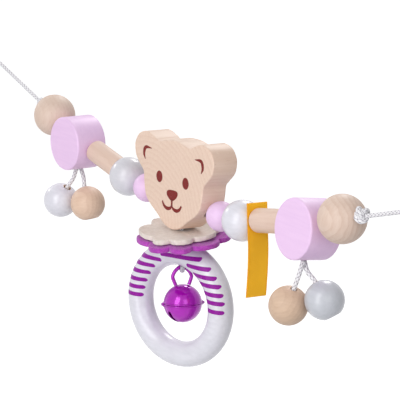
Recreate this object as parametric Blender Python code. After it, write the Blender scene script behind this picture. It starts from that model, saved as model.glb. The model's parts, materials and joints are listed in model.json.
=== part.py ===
"""Wooden pram chain: a bear head, beads, a ring and a jingle bell strung on an elastic cord.

Units are metres, +Z is up and the fronts face -Y. Places are measured from the middle of the
chain, where the main cord runs through the head. The empty "chain" carries every piece, and
moves that middle so that the world origin is where the left hanging loop bears on its hook.
"""

import math

import bmesh
import bpy
from mathutils import Matrix, Vector

# Clearances
GAP = 0.0003                        # air between pieces that rest on each other
CORD_ROOM = 0.0007                  # air around a cord in its bore
WELL_ROOM = 0.0003                  # air around what fills a blind hole
PLAY = {"left": 0.0005, "right": 0.0003}    # air between the pieces threaded on the main cord

# Cords
CORD_D = 0.0020                     # elastic main cord
TASSEL_CORD_D = 0.0026
HANGER_CORD_D = 0.0026
CORD_STEP = 0.0050                  # spacing of the points along a cord

# Hang of the chain: an arc in the middle, straight towards both ends
SAG_RADIUS = 0.389
END_SLOPE = math.radians(17.7)

# Beads
END_BALL_D = 0.0250
WHITE_BEAD_D = 0.0224
PINK_BEAD_D = 0.0164
DOWEL_D = 0.0130
DOWEL_L = 0.0272
DOWEL_EDGE = 0.0009
DOWEL_BORE_D = 0.0058               # wide, so that the squeezed dowels sit off the cord
DOWEL_OFF = {"left": (0.0015, 0.0), "right": (0.0010, 0.0012)}      # behind and above the cord
DISC_D = 0.0316
DISC_T = 0.0195
DISC_EDGE = 0.0007
DISC_DROP = 0.0030                  # its middle below its bore
DISC_TIP = {"left": math.radians(3.0), "right": math.radians(9.6)}      # foot towards -Y

# Knots on the main cord and the loops at its ends
STOP_KNOT_L = 0.0064
STOP_KNOT_D = 0.0084
LEAD_L = 0.0560                     # free cord between a stop knot and a loop knot
LOOP_KNOT_L = 0.0060
LOOP_KNOT_D = 0.0066
LOOP_L = 0.0150
LOOP_W = 0.0080

# Tassels
TASSEL_BALL_D = 0.0206
TASSEL_ROOM = 0.0010                # air around a cord in its ball
TASSEL_FLAT_D = 0.0090              # flat turned around the counterbore
TASSEL_SEAT_D = 0.0068              # counterbore that hides the knot
TASSEL_SEAT_L = 0.0050
TASSEL_KNOT_L = 0.0040
TASSEL_KNOT_D = 0.0056
# Middle between the two balls, from the mouth of the disc's well
TASSEL_HANG = {"left": (-0.0015, -0.0015, -0.0207), "right": (0.0012, 0.0014, -0.0229)}
# Direction from the front ball to the back one: a turn from +X towards +Y, and a rise
TASSEL_TURN = {"left": math.radians(19.5), "right": math.radians(28.0)}
TASSEL_RISE = {"left": math.radians(3.5), "right": math.radians(16.7)}
# Where the front and the back cord leave the well
TASSEL_FEET = {"left": ((0.0, -0.0003), (0.0, 0.0026)),
               "right": ((0.0013, -0.0009), (-0.0013, 0.0009))}

# Bear head, whose half outline is in head_outline
HEAD_W_AT_CORD = 0.0542
HEAD_T = 0.0160
HEAD_EDGE = 0.0006
HEAD_ROLL = math.radians(3.0)       # raises its +X side
HEAD_TIP = math.radians(4.0)        # its foot towards -Y
HEAD_MIDDLE = 0.0090                # height of its centre above the cord
HEAD_BACK = 0.0004                  # its mid-plane behind the cord
CROWN = 0.0363                      # crown above the cord
EAR_W = 0.0758                      # across both ears
CHIN = 0.0131                       # chin below the cord

# Felt flowers
FELT_T = 0.0028
NATURAL_FLOWER_D = 0.0450
PURPLE_FLOWER_D = 0.0524
SCALLOPS = 8
SCALLOP_DEPTH = 0.0026
FLOWER_TILT = math.radians(2.0)     # the felt lies tilted under the tipped chin
FLOWER_RISE = math.radians(55.0)    # direction of its high side, from +X towards +Y

# Hanger: a cord folded over the main cord, knotted in the head and again in the ring
HANGER_Y = -0.0012
HANGER_PIVOT = 0.0009               # pivot above the chin
HANGER_KNOT_L = 0.0040
HANGER_KNOT_D = 0.0068

# Ring
RING_D = 0.0724
RING_TUBE_D = 0.0144
RING_TURN = math.radians(15.5)
RING_TIP = math.radians(4.0)        # its foot towards -Y
RING_KNOT_L = 0.0030
RING_KNOT_D = 0.0062
RING_SEAT_L = 0.0036                # counterbore at the ring's inside for the knot
BELL_LOOP_DROP = 0.0042             # cord loop below the ring's inside

# Jingle bell
BELL_D = 0.0210
BELL_WALL = 0.0006
BELL_RIM = 0.0004                   # seam bead standing proud of the ball
BELL_RIM_T = 0.0005
BELL_POINT = 0.0016                 # drawn-out points of the seam
BELL_TURN = math.radians(64.0)
BELL_TIP = math.radians(10.0)       # its foot forward, about the line through its points
SLOT_TURN = math.radians(38.5)      # slot against the wire loop
SLOT_W = 0.0022
SLOT_TOP = 0.0040                   # top of the slot below the seam
WIRE_D = 0.0012
WIRE_FOOT = 0.0037                  # half the spread of the loop's feet
WIRE_W = 0.0104
WIRE_H = 0.0104
PELLET_D = 0.0050

# Folded ribbon tag
TAG_W = 0.0128
TAG_L = 0.0500
TAG_ABOVE = 0.0104                  # fold above the cord
TAG_ASIDE = 0.0012                  # ribbon's middle beside its hole
TAG_LAYER = 0.00030
TAG_INSIDE = 0.00020                # air between the two layers
TAG_ROOM = 0.0005                   # air around the cord in the tag's hole
TAG_FLAT = 0.0070                   # square to the cord down to here, then it bends back
TAG_BEND = 0.0150

# Facets
ROUND = 20
BALL_BANDS = 9
BORE_SIDES = 12
SPANS = 3                           # spans between two points of a smoothed outline

BORE_D = CORD_D + 2 * CORD_ROOM
TASSEL_BORE_D = TASSEL_CORD_D + 2 * TASSEL_ROOM
HANGER_BORE_D = HANGER_CORD_D + 2 * CORD_ROOM
TAG_T = 2 * TAG_LAYER + TAG_INSIDE
SIDES = (("left", -1), ("right", 1))
LEGS = (("front", -1), ("back", 1))


def clear_scene():
    for thing in list(bpy.data.objects):
        bpy.data.objects.remove(thing, do_unlink=True)


def linear(hex_colour):
    """Linear red, green, blue and alpha of an sRGB hex colour."""
    parts = [int(hex_colour[i:i + 2], 16) / 255 for i in (1, 3, 5)]
    return [c / 12.92 if c <= 0.04045 else ((c + 0.055) / 1.055) ** 2.4 for c in parts] + [1]


def finish(name, colour, roughness, metallic=0.0):
    material = bpy.data.materials.new(name)
    material.use_nodes = True
    shader = material.node_tree.nodes["Principled BSDF"]
    shader.inputs["Base Color"].default_value = linear(colour)
    shader.inputs["Roughness"].default_value = roughness
    shader.inputs["Metallic"].default_value = metallic
    material.diffuse_color = linear(colour)
    return material


def make_finishes():
    return {
        "beech": finish("beech", "#E2C6A6", 0.55),
        "pearl_white": finish("pearl_white", "#E0E0E8", 0.30),
        "pink": finish("pink", "#E8C6EC", 0.35),
        "natural_felt": finish("natural_felt", "#DDD2C8", 0.95),
        "purple_felt": finish("purple_felt", "#B13CBB", 0.95),
        "purple_metal": finish("purple_metal", "#9A1AA6", 0.18, 0.8),
        "steel": finish("steel", "#B8B8BC", 0.30, 1.0),
        "white_cord": finish("white_cord", "#E6E6EA", 0.80),
        "yellow_ribbon": finish("yellow_ribbon", "#EDA824", 0.70),
    }


def cord_at(s):
    """Point and slope of the main cord at length s from its middle, minus on the left."""
    side = math.copysign(1, s)
    bend = min(abs(s) / SAG_RADIUS, END_SLOPE)
    beyond = abs(s) - bend * SAG_RADIUS
    across = SAG_RADIUS * math.sin(bend) + beyond * math.cos(bend)
    up = SAG_RADIUS * (1 - math.cos(bend)) + beyond * math.sin(bend)
    return Vector((side * across, 0, up)), side * bend


def tangent(slope):
    return Vector((math.cos(slope), 0, math.sin(slope)))


def on_cord(s):
    """Location and rotation that lay a turned piece's Z axis along the cord at s."""
    point, slope = cord_at(s)
    return {"place": point, "turn": (0, math.pi / 2 - slope, 0)}


def seat(diameter, bore):
    """Distance from a ball's middle to the rim of its bore, along the bore."""
    return math.sqrt((diameter / 2) ** 2 - (bore / 2) ** 2)


def knot_seat(length, width, hole):
    """Distance from a knot's middle to the rim of the hole that it stops at."""
    return length / 2 * math.sqrt(1 - (hole / width) ** 2) + GAP


def lean_room(word, apart):
    """Room for the edge of a turning dowel where the cord bends towards its neighbour."""
    return (DOWEL_D / 2 + math.hypot(*DOWEL_OFF[word])) * apart / SAG_RADIUS


def places():
    """Lengths along the cord from the middle to each piece, for both sides."""
    found = {}
    pink, white = seat(PINK_BEAD_D, BORE_D), seat(WHITE_BEAD_D, BORE_D)
    for word, side in SIDES:
        play = PLAY[word]
        at = {"pink_bead": HEAD_W_AT_CORD / 2 + play + PINK_BEAD_D / 2}
        at["white_bead"] = at["pink_bead"] + pink + play + white
        dowel_start = at["white_bead"] + white + play
        if word == "right":
            at["tag"] = dowel_start + TAG_T / 2
            dowel_start += TAG_T + play + lean_room(word, (TAG_T + DOWEL_L) / 2)
        at["dowel"] = dowel_start + DOWEL_L / 2
        pair = (DOWEL_L + DISC_D) / 2
        at["disc"] = at["dowel"] + pair + play + lean_room(word, pair)
        apart = (DISC_D + END_BALL_D) / 2 + play
        at["end_ball"] = at["disc"] + math.sqrt(apart ** 2 - DISC_DROP ** 2)
        at["stop_knot"] = (at["end_ball"] + seat(END_BALL_D, BORE_D)
                           + knot_seat(STOP_KNOT_L, STOP_KNOT_D, BORE_D))
        at["lead"] = at["stop_knot"] + STOP_KNOT_L / 2 + GAP
        at["loop_knot"] = at["lead"] + LEAD_L + GAP + LOOP_KNOT_L / 2
        found[word] = {piece: side * s for piece, s in at.items()}
    return found


def smooth(points):
    """Catmull-Rom curve through points."""
    points = [Vector(p) for p in points]
    ends = [2 * points[0] - points[1]] + points + [2 * points[-1] - points[-2]]
    found = []
    for before, here, there, after in zip(ends, ends[1:], ends[2:], ends[3:]):
        for k in range(SPANS):
            t = k / SPANS
            found.append(0.5 * (2 * here + (there - before) * t
                                + (2 * before - 5 * here + 4 * there - after) * t ** 2
                                + (3 * here - before - 3 * there + after) * t ** 3))
    return found + [points[-1]]


def put(thing, parent, place, turn):
    bpy.context.scene.collection.objects.link(thing)
    thing.parent = parent
    thing.location = place
    thing.rotation_euler = turn
    return thing


def make_object(name, data, parent, material, place=(0, 0, 0), turn=(0, 0, 0)):
    if material and not data.materials:
        data.materials.append(material)
    return put(bpy.data.objects.new(name, data), parent, place, turn)


def make_pivot(name, parent, place, turn=(0, 0, 0)):
    return put(bpy.data.objects.new(name, None), parent, place, turn)


def mesh_from(bm, name, smooth_angle=35):
    bmesh.ops.recalc_face_normals(bm, faces=bm.faces)
    mesh = bpy.data.meshes.new(name)
    bm.to_mesh(mesh)
    bm.free()
    mesh.shade_smooth()
    mesh.set_sharp_from_angle(angle=math.radians(smooth_angle))
    return mesh


def lathe(name, profile, segments=ROUND):
    """Solid turned about Z from a closed profile of (radius, height) points."""
    bm = bmesh.new()
    ring = [bm.verts.new((r, 0, z)) for r, z in profile]
    edges = [bm.edges.new(pair) for pair in zip(ring, ring[1:] + ring[:1])]
    bmesh.ops.spin(bm, geom=ring + edges, axis=(0, 0, 1), cent=(0, 0, 0), steps=segments,
                   angle=math.tau, use_merge=True)
    bmesh.ops.remove_doubles(bm, verts=bm.verts, dist=1e-6)
    flat = [f for f in bm.faces if f.calc_area() < 1e-14]
    bmesh.ops.delete(bm, geom=flat, context="FACES")
    return mesh_from(bm, name)


def arc(radius, start, end, steps):
    """Points of a circle about the axis' origin between two angles above the equator."""
    angles = [start + (end - start) * k / steps for k in range(steps + 1)]
    return [(radius * math.cos(a), radius * math.sin(a)) for a in angles]


def slab(outline, thickness, edge=0.0):
    """Outline of (x, z) points made a plate that is centred on Y, its edges bevelled."""
    bm = bmesh.new()
    front = bm.faces.new([bm.verts.new((x, -thickness / 2, z)) for x, z in outline])
    made = bmesh.ops.extrude_face_region(bm, geom=[front])["geom"]
    back = [v for v in made if isinstance(v, bmesh.types.BMVert)]
    bmesh.ops.translate(bm, verts=back, vec=(0, thickness, 0))
    if edge:
        rims = [e for e in bm.edges if abs(e.verts[0].co.y - e.verts[1].co.y) < 1e-9]
        bmesh.ops.bevel(bm, geom=rims, offset=edge, segments=1, affect="EDGES")
    return bm


def ball_mesh(name, diameter):
    rim = math.acos(BORE_D / diameter)
    return lathe(name, arc(diameter / 2, rim, -rim, BALL_BANDS))


def solid_ball_mesh(name, diameter, middle):
    bm = bmesh.new()
    bmesh.ops.create_uvsphere(bm, u_segments=BORE_SIDES, v_segments=8, radius=diameter / 2,
                              matrix=Matrix.Translation(middle))
    return mesh_from(bm, name)


def dowel_mesh(word):
    """Dowel along Z, behind and above the cord that it turns on."""
    end, r, bore = DOWEL_L / 2, DOWEL_D / 2, DOWEL_BORE_D / 2
    mesh = lathe(f"{word}_dowel", [(bore, end), (r - DOWEL_EDGE, end), (r, end - DOWEL_EDGE),
                                   (r, DOWEL_EDGE - end), (r - DOWEL_EDGE, -end), (bore, -end)])
    back, up = DOWEL_OFF[word]
    mesh.transform(Matrix.Translation((-up, back, 0)))
    return mesh


def knot_mesh(name, length, width):
    """Tied cord as a ball along Z with three strands that wind over it."""
    bm = bmesh.new()
    bmesh.ops.create_uvsphere(bm, u_segments=BORE_SIDES, v_segments=8, radius=1)
    for v in bm.verts:
        around, up = math.atan2(v.co.y, v.co.x), v.co.z
        swell = 0.92 + 0.08 * math.cos(3 * around + 2.5 * up) * (1 - up * up)
        v.co = (v.co.x * width / 2 * swell, v.co.y * width / 2 * swell, up * length / 2)
    return mesh_from(bm, name, 80)


def tube(name, points, diameter, parent, material, place=(0, 0, 0), round_start=False):
    """Cord along points, whose first end can be a half ball about the first point."""
    points = [Vector(p) for p in points]
    sizes = [1.0] * len(points)
    if round_start:
        out = (points[0] - points[1]).normalized() * diameter / 2
        angles = [math.radians(a) for a in (67, 37)]
        points = [points[0] + out * math.sin(a) for a in angles] + points
        sizes = [math.cos(a) for a in angles] + sizes
    curve = bpy.data.curves.new(name, "CURVE")
    curve.dimensions = "3D"
    curve.bevel_depth = diameter / 2
    curve.bevel_resolution = 2
    curve.use_fill_caps = True
    spline = curve.splines.new("POLY")
    spline.points.add(len(points) - 1)
    for spot, point, size in zip(spline.points, points, sizes):
        spot.co = (*point, 1)
        spot.radius = size
    return make_object(name, curve, parent, material, place)


def straight(start, end):
    start, end = Vector(start), Vector(end)
    count = max(2, round((end - start).length / CORD_STEP))
    return [start.lerp(end, k / count) for k in range(count + 1)]


def cut(target, mesh, place=(0, 0, 0), turn=(0, 0, 0)):
    """Cuts mesh, placed in the frame of target's parent, out of target."""
    cutter = make_object(target.name + "_cutter", mesh, target.parent, None, place, turn)
    cutter.hide_render = True
    cutter.display_type = "WIRE"
    boolean = target.modifiers.new("cut", "BOOLEAN")
    boolean.operation = "DIFFERENCE"
    boolean.solver = "EXACT"
    boolean.object = cutter


def drill(name, diameter, below, above):
    """Cutter of a hole about Z, from below its middle to above it."""
    bm = bmesh.new()
    bmesh.ops.create_cone(bm, cap_ends=True, segments=BORE_SIDES, radius1=diameter / 2,
                          radius2=diameter / 2, depth=above + below,
                          matrix=Matrix.Translation((0, 0, (above - below) / 2)))
    return mesh_from(bm, name)


def make_beads(chain, looks, at):
    meshes = {
        "pink_bead": (ball_mesh("pink_bead", PINK_BEAD_D), "pink"),
        "white_bead": (ball_mesh("white_bead", WHITE_BEAD_D), "pearl_white"),
        "end_ball": (ball_mesh("end_ball", END_BALL_D), "beech"),
        "stop_knot": (knot_mesh("stop_knot", STOP_KNOT_L, STOP_KNOT_D), "white_cord"),
        "loop_knot": (knot_mesh("loop_knot", LOOP_KNOT_L, LOOP_KNOT_D), "white_cord"),
    }
    for word, _ in SIDES:
        for piece, (mesh, look) in meshes.items():
            make_object(f"{word}_{piece}", mesh, chain, looks[look], **on_cord(at[word][piece]))
        make_object(f"{word}_dowel", dowel_mesh(word), chain, looks["beech"],
                    **on_cord(at[word]["dowel"]))


def make_main_cord(chain, looks, at):
    """The cord through the beads, then the free lead and the tied loop at each side."""
    cord = looks["white_cord"]
    ends = [at[word]["stop_knot"] - side * (STOP_KNOT_L / 2 + GAP) for word, side in SIDES]
    count = round((ends[1] - ends[0]) / CORD_STEP)
    stops = [ends[0] + (ends[1] - ends[0]) * k / count for k in range(count + 1)]
    tube("main_cord", [cord_at(s)[0] for s in stops], CORD_D, chain, cord)
    for word, side in SIDES:
        start = at[word]["lead"]
        lead = straight(cord_at(start)[0], cord_at(start + side * LEAD_L)[0])
        tube(f"{word}_lead", lead, CORD_D, chain, cord)
        tube(f"{word}_loop", loop_points(at[word]["loop_knot"]), CORD_D, chain, cord)


def loop_points(s):
    """Drop-shaped eye in the chain's plane, from the outer face of the knot at s and back."""
    base, slope = cord_at(s)
    along = tangent(slope) * math.copysign(1, s)
    up = Vector((-along.z, 0, along.x))
    foot = (CORD_D + 2 * GAP) / LOOP_W
    half = [(0, foot), (0.16, foot + 0.12), (0.50, 0.88), (0.78, 0.90), (0.95, 0.50)]
    eye = half + [(1, 0)] + [(a, -w) for a, w in reversed(half)]
    start = base + along * (LOOP_KNOT_L / 2 + GAP)
    return smooth([start + along * (a * LOOP_L) + up * (w * LOOP_W / 2) for a, w in eye])


def hook_point(s):
    """Where a hook bears: the inner side of the far end of the loop whose knot is at s."""
    base, slope = cord_at(s)
    along = tangent(slope) * math.copysign(1, s)
    return base + along * (LOOP_KNOT_L / 2 + GAP + LOOP_L - CORD_D / 2)


def fold_reach(cord_d):
    """Distance between the middles of the main cord and of a cord folded over it."""
    return (CORD_D + cord_d) / 2 + GAP


def fold_points(reach, feet, bottom):
    """Cord folded over the main cord, its front and its back foot at height bottom."""
    legs = []
    for (x, y), out in zip(feet, (-reach, reach)):
        legs.append([(x, y, bottom), (x / 2, (y + out) / 2, bottom / 2), (0, out, 0),
                     (0, out * 0.71, reach * 0.71)])
    return smooth(legs[0] + [(0, 0, reach)] + legs[1][::-1])


def disc_tip(word, s):
    """Turn about the cord that tips a disc."""
    return Matrix.Rotation(-DISC_TIP[word], 4, tangent(cord_at(s)[1]))


def disc_frame(word, s):
    """Frame of a disc's well: on the cord above the disc's middle, -Z down the well."""
    out = math.copysign(DISC_DROP * math.tan(abs(cord_at(s)[1])), s)
    return Matrix.Translation(cord_at(s + out)[0]) @ disc_tip(word, s)


def make_disc(chain, looks, word, s):
    """Short cylinder threaded across, with a blind well for its tassel."""
    centre, slope = cord_at(s)
    bm = bmesh.new()
    bmesh.ops.create_cone(bm, cap_ends=True, segments=2 * ROUND, radius1=DISC_D / 2,
                          radius2=DISC_D / 2, depth=DISC_T,
                          matrix=Matrix.Rotation(math.pi / 2, 4, "X"))
    rims = [e for e in bm.edges if any(len(f.verts) > 4 for f in e.link_faces)]
    bmesh.ops.bevel(bm, geom=rims, offset=DISC_EDGE, segments=2, affect="EDGES")
    drop = Vector((math.sin(slope) * DISC_DROP, 0, -math.cos(slope) * DISC_DROP))
    lay = disc_tip(word, s) @ Matrix.Translation(drop)
    bmesh.ops.transform(bm, matrix=lay, verts=bm.verts)
    disc = make_object(f"{word}_disc", mesh_from(bm, f"{word}_disc"), chain, looks["pink"], centre)
    cut(disc, drill("bore", BORE_D, DISC_D, DISC_D), **on_cord(s))
    reach = fold_reach(TASSEL_CORD_D)
    wide = 2 * reach + TASSEL_CORD_D + 2 * WELL_ROOM
    well = disc_frame(word, s)
    cut(disc, drill("well", wide, DISC_D, reach + TASSEL_CORD_D / 2 + WELL_ROOM),
        well.translation, well.to_euler())


def tassel_places(word, s):
    """Pivot and ball middle of both legs of a tassel, the two balls resting on each other."""
    frame = disc_frame(word, s)
    mouth = -DISC_DROP - DISC_D / 2 - GAP
    turn, rise = TASSEL_TURN[word], TASSEL_RISE[word]
    half = (TASSEL_BALL_D + GAP) / 2
    line = Vector((math.cos(turn) * math.cos(rise), math.sin(turn) * math.cos(rise), math.sin(rise)))
    middle = frame @ Vector((0, 0, mouth)) + Vector(TASSEL_HANG[word])
    return {leg: (frame @ Vector((*foot, mouth)), middle + line * (way * half))
            for (leg, way), foot in zip(LEGS, TASSEL_FEET[word])}


def tassel_ball_mesh(name):
    """Ball bored along Z, with a flat below and its counterbore in the flat."""
    r, bore, wide = TASSEL_BALL_D / 2, TASSEL_BORE_D / 2, TASSEL_SEAT_D / 2
    flat = -seat(TASSEL_BALL_D, TASSEL_FLAT_D)
    step = flat + TASSEL_SEAT_L
    skin = arc(r, math.acos(bore / r), math.asin(flat / r), BALL_BANDS)
    return lathe(name, skin + [(wide, flat), (wide, step), (bore, step)])


def make_tassel(chain, looks, word, s):
    """Cord folded over the main cord inside the disc, a ball knotted on each end."""
    frame = disc_frame(word, s)
    bottom = -DISC_DROP - DISC_D / 2 + TASSEL_CORD_D / 2
    inner = fold_points(fold_reach(TASSEL_CORD_D), TASSEL_FEET[word], bottom)
    tube(f"{word}_tassel_fold", [frame @ p for p in inner], TASSEL_CORD_D, chain, looks["white_cord"])
    balls = {"left": ("pearl_white", "beech"), "right": ("beech", "pearl_white")}[word]
    for (leg, (place, ball)), look in zip(tassel_places(word, s).items(), balls):
        down = ball - place
        name = f"{word}_{leg}_tassel"
        pivot = make_pivot(f"{name}_pivot", chain, place, down.to_track_quat("-Z", "Y").to_euler())
        knot = (down.length + seat(TASSEL_BALL_D, TASSEL_FLAT_D) - TASSEL_SEAT_L + GAP
                + TASSEL_KNOT_L / 2)
        end = (0, 0, TASSEL_KNOT_L / 2 + GAP - knot)
        tube(f"{name}_cord", straight((0, 0, 0), end), TASSEL_CORD_D, pivot, looks["white_cord"],
             round_start=True)
        make_object(f"{name}_ball", tassel_ball_mesh(f"{name}_ball"), pivot, looks[look],
                    (0, 0, -down.length))
        make_object(f"{name}_knot", knot_mesh(f"{name}_knot", TASSEL_KNOT_L, TASSEL_KNOT_D), pivot,
                    looks["white_cord"], (0, 0, -knot))


def head_outline():
    """Closed outline of the head's front, mirrored about its middle."""
    cheek = HEAD_W_AT_CORD / 2
    ears = ((0, 1), (0.154, 0.992), (0.279, 0.964), (0.398, 0.939), (0.493, 0.983),
            (0.695, 1.041), (0.881, 0.992), (0.979, 0.876), (1, 0.771), (0.963, 0.623),
            (0.836, 0.490))
    cheeks = ((1.063, 0.408), (1.033, 0.262), (1, 0.138), (0.941, 0.033))
    jaw = ((0.801, -0.183), (0.539, -0.519), (0.303, -0.847), (0.148, -0.962), (0, -1))
    half = [(x * EAR_W / 2, z * CROWN) for x, z in ears]
    half += [(x * cheek, z * CROWN) for x, z in cheeks]
    half += [(x * cheek, z * CHIN) for x, z in jaw]
    before = [(-x, z) for x, z in half[2:0:-1]]
    after = [(-x, z) for x, z in half[-2:-4:-1]]
    curve = smooth([(x, z, 0) for x, z in before + half + after])[2 * SPANS:-2 * SPANS]
    right = [(p.x, p.y) for p in curve]
    return right + [(-x, z) for x, z in right[-2:0:-1]]


def make_head(chain, looks):
    """Sawn and drilled head, tipped back a little on its cord, with the hanger's well."""
    bm = slab(head_outline(), HEAD_T, HEAD_EDGE)
    middle = Vector((0, 0, HEAD_MIDDLE))
    tip = (Matrix.Translation(middle + Vector((0, HEAD_BACK, 0))) @ Matrix.Rotation(-HEAD_TIP, 4, "X")
           @ Matrix.Rotation(-HEAD_ROLL, 4, "Y") @ Matrix.Translation(-middle))
    bmesh.ops.transform(bm, matrix=tip, verts=bm.verts)
    head = make_object("bear_head", mesh_from(bm, "bear_head"), chain, looks["beech"])
    sag = cord_at(HEAD_W_AT_CORD / 2)[0].z
    cut(head, drill("bore", BORE_D + sag, EAR_W, EAR_W), (0, 0, sag / 2), (0, math.pi / 2, 0))
    reach = fold_reach(HANGER_CORD_D)
    wide = max(2 * reach + HANGER_CORD_D, HANGER_KNOT_D + 2 * abs(HANGER_Y)) + 2 * WELL_ROOM
    cut(head, drill("well", wide, 2 * CHIN, reach + HANGER_CORD_D / 2 + WELL_ROOM))


def chin_low():
    """Height of the head's lowest edge, at the back of the tipped chin."""
    arm = HEAD_MIDDLE + CHIN
    return HEAD_MIDDLE - arm * math.cos(HEAD_TIP) - HEAD_T / 2 * math.sin(HEAD_TIP)


def hanging_levels():
    """Heights of what hangs under the chin, from the hanger's pivot down to the bell."""
    rise = HEAD_T / 2 * math.tan(FLOWER_TILT)
    step = (FELT_T + GAP) / math.cos(FLOWER_TILT)
    levels = {"pivot": HANGER_PIVOT - CHIN}
    levels["natural_felt_flower"] = chin_low() - rise - (step + GAP) / 2
    levels["purple_felt_flower"] = levels["natural_felt_flower"] - step
    levels["ring"] = levels["purple_felt_flower"] - step / 2 - GAP - RING_D / 2
    levels["ring_inside"] = levels["ring"] + RING_D / 2 - RING_TUBE_D
    levels["ring_knot"] = levels["ring_inside"] + RING_SEAT_L - GAP - RING_KNOT_L / 2
    levels["bell_loop_top"] = levels["ring_knot"] - RING_KNOT_L / 2 - GAP
    levels["bell_pivot"] = levels["ring_inside"] - BELL_LOOP_DROP + HANGER_CORD_D / 2
    levels["wire_top"] = levels["bell_pivot"] + (HANGER_CORD_D + WIRE_D) / 2 + GAP
    foot = seat(BELL_D, 2 * WIRE_FOOT - WIRE_D) + GAP
    levels["bell"] = levels["wire_top"] - WIRE_H - foot
    return levels


def make_hanger(chain, looks, levels):
    """The fold and knot inside the head, then the cord down to the knot inside the ring."""
    cord = looks["white_cord"]
    knot = levels["pivot"] + HANGER_CORD_D / 2 + GAP + HANGER_KNOT_L / 2
    reach = fold_reach(HANGER_CORD_D)
    fold = fold_points(reach, ((0, -reach), (0, reach)), knot + HANGER_KNOT_L / 2 + GAP)
    tube("head_hanger_fold", fold, HANGER_CORD_D, chain, cord)
    make_object("head_hanger_knot", knot_mesh("head_hanger_knot", HANGER_KNOT_L, HANGER_KNOT_D),
                chain, cord, (0, HANGER_Y, knot))
    hanger = make_pivot("hanger", chain, (0, HANGER_Y, levels["pivot"]))
    end = levels["ring_knot"] + RING_KNOT_L / 2 + GAP - levels["pivot"]
    tube("ring_hanger_cord", straight((0, 0, 0), (0, 0, end)), HANGER_CORD_D, hanger, cord,
         round_start=True)
    make_object("ring_stop_knot", knot_mesh("ring_stop_knot", RING_KNOT_L, RING_KNOT_D), hanger,
                cord, (0, 0, levels["ring_knot"] - levels["pivot"]))
    return hanger


def flower_lay():
    """Rotation that raises the felt's high side."""
    return Matrix.Rotation(-FLOWER_TILT, 4, (-math.sin(FLOWER_RISE), math.cos(FLOWER_RISE), 0))


def flower_mesh(name, diameter, turn):
    """Round of felt with a scalloped edge, its faces square to Z."""
    count = SCALLOPS * 8
    outline = []
    for k in range(count):
        a = math.tau * k / count
        r = diameter / 2 - SCALLOP_DEPTH * (1 - abs(math.cos(SCALLOPS * a / 2)))
        outline.append((r * math.cos(a + turn), r * math.sin(a + turn)))
    bm = slab(outline, FELT_T)
    bmesh.ops.rotate(bm, verts=bm.verts, matrix=Matrix.Rotation(math.pi / 2, 3, "X"))
    return mesh_from(bm, name)


def make_flowers(hanger, looks, levels):
    turn = flower_lay().to_euler()
    for colour, diameter, phase in (("natural", NATURAL_FLOWER_D, 0),
                                    ("purple", PURPLE_FLOWER_D, math.pi / SCALLOPS)):
        name = f"{colour}_felt_flower"
        place = (0, 0, levels[name] - levels["pivot"])
        flower = make_object(name, flower_mesh(name, diameter, phase), hanger,
                             looks[f"{colour}_felt"], place, turn)
        cut(flower, drill("hole", HANGER_BORE_D, FELT_T, FELT_T), place, turn)


def make_ring(hanger, looks, levels):
    """Turned ring, bored down through its top, with a counterbore inside for the knot."""
    bm = bmesh.new()
    radius, tube_r = (RING_D - RING_TUBE_D) / 2, RING_TUBE_D / 2
    hoop = [bm.verts.new((radius + tube_r * math.cos(a), 0, tube_r * math.sin(a)))
            for a in (math.tau * k / 12 for k in range(12))]
    edges = [bm.edges.new(pair) for pair in zip(hoop, hoop[1:] + hoop[:1])]
    bmesh.ops.spin(bm, geom=hoop + edges, axis=(0, 0, 1), cent=(0, 0, 0), steps=2 * ROUND,
                   angle=math.tau, use_merge=True)
    tip = (Matrix.Rotation(-RING_TIP, 4, "X") @ Matrix.Translation((0, 0, RING_TUBE_D - RING_D / 2))
           @ Matrix.Rotation(math.pi / 2, 4, "X"))
    bmesh.ops.transform(bm, matrix=tip, verts=bm.verts)
    inside = (0, 0, levels["ring_inside"] - levels["pivot"])
    ring = make_object("wooden_ring", mesh_from(bm, "wooden_ring", 60), hanger, looks["pearl_white"],
                       inside, (0, 0, RING_TURN))
    cut(ring, drill("bore", HANGER_BORE_D, tube_r, 2 * RING_TUBE_D), inside)
    cut(ring, drill("seat", RING_KNOT_D + 2 * CORD_ROOM, tube_r, RING_SEAT_L), inside)


def bell_eye_points(top):
    """Cord loop through the wire loop, from height top down to its lowest point at zero."""
    leg = WIRE_D / 2 + GAP + HANGER_CORD_D / 2
    half = [(-leg, top), (-leg, top / 2), (-0.7 * leg, top * 0.12)]
    return smooth([(0, y, z) for y, z in half + [(0, 0)] + [(-y, z) for y, z in half[::-1]]])


def wire_points(top):
    """Wire loop from one foot over its top, at height top, to the other foot."""
    half = [(-WIRE_FOOT, -1.0), (-0.485 * WIRE_W, -0.66), (-0.50 * WIRE_W, -0.50),
            (-0.38 * WIRE_W, -0.26), (-0.16 * WIRE_W, -0.055)]
    shape = half + [(0, 0)] + [(-x, z) for x, z in half[::-1]]
    return smooth([(x, 0, top + z * WIRE_H) for x, z in shape])


def shell_mesh(name):
    """Upper half of the bell: a cup with a seam bead, drawn out to a point at -X and +X."""
    outer, inner, low = BELL_D / 2, BELL_D / 2 - BELL_WALL, GAP / 2
    rim, high = outer + BELL_RIM, low + BELL_RIM_T
    skin = arc(outer, math.asin(high / outer), math.pi / 2, 7)
    cup = arc(inner, math.pi / 2, math.asin(low / inner), 7)
    mesh = lathe(name, [(rim, low), (rim, high)] + skin[:-1] + [(0, outer), (0, inner)] + cup[1:],
                 24)
    for v in mesh.vertices:
        if math.hypot(v.co.x, v.co.y) > rim - 1e-5 and abs(v.co.y) < 1e-5:
            v.co.x *= (outer + BELL_POINT) / rim
    return mesh


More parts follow.
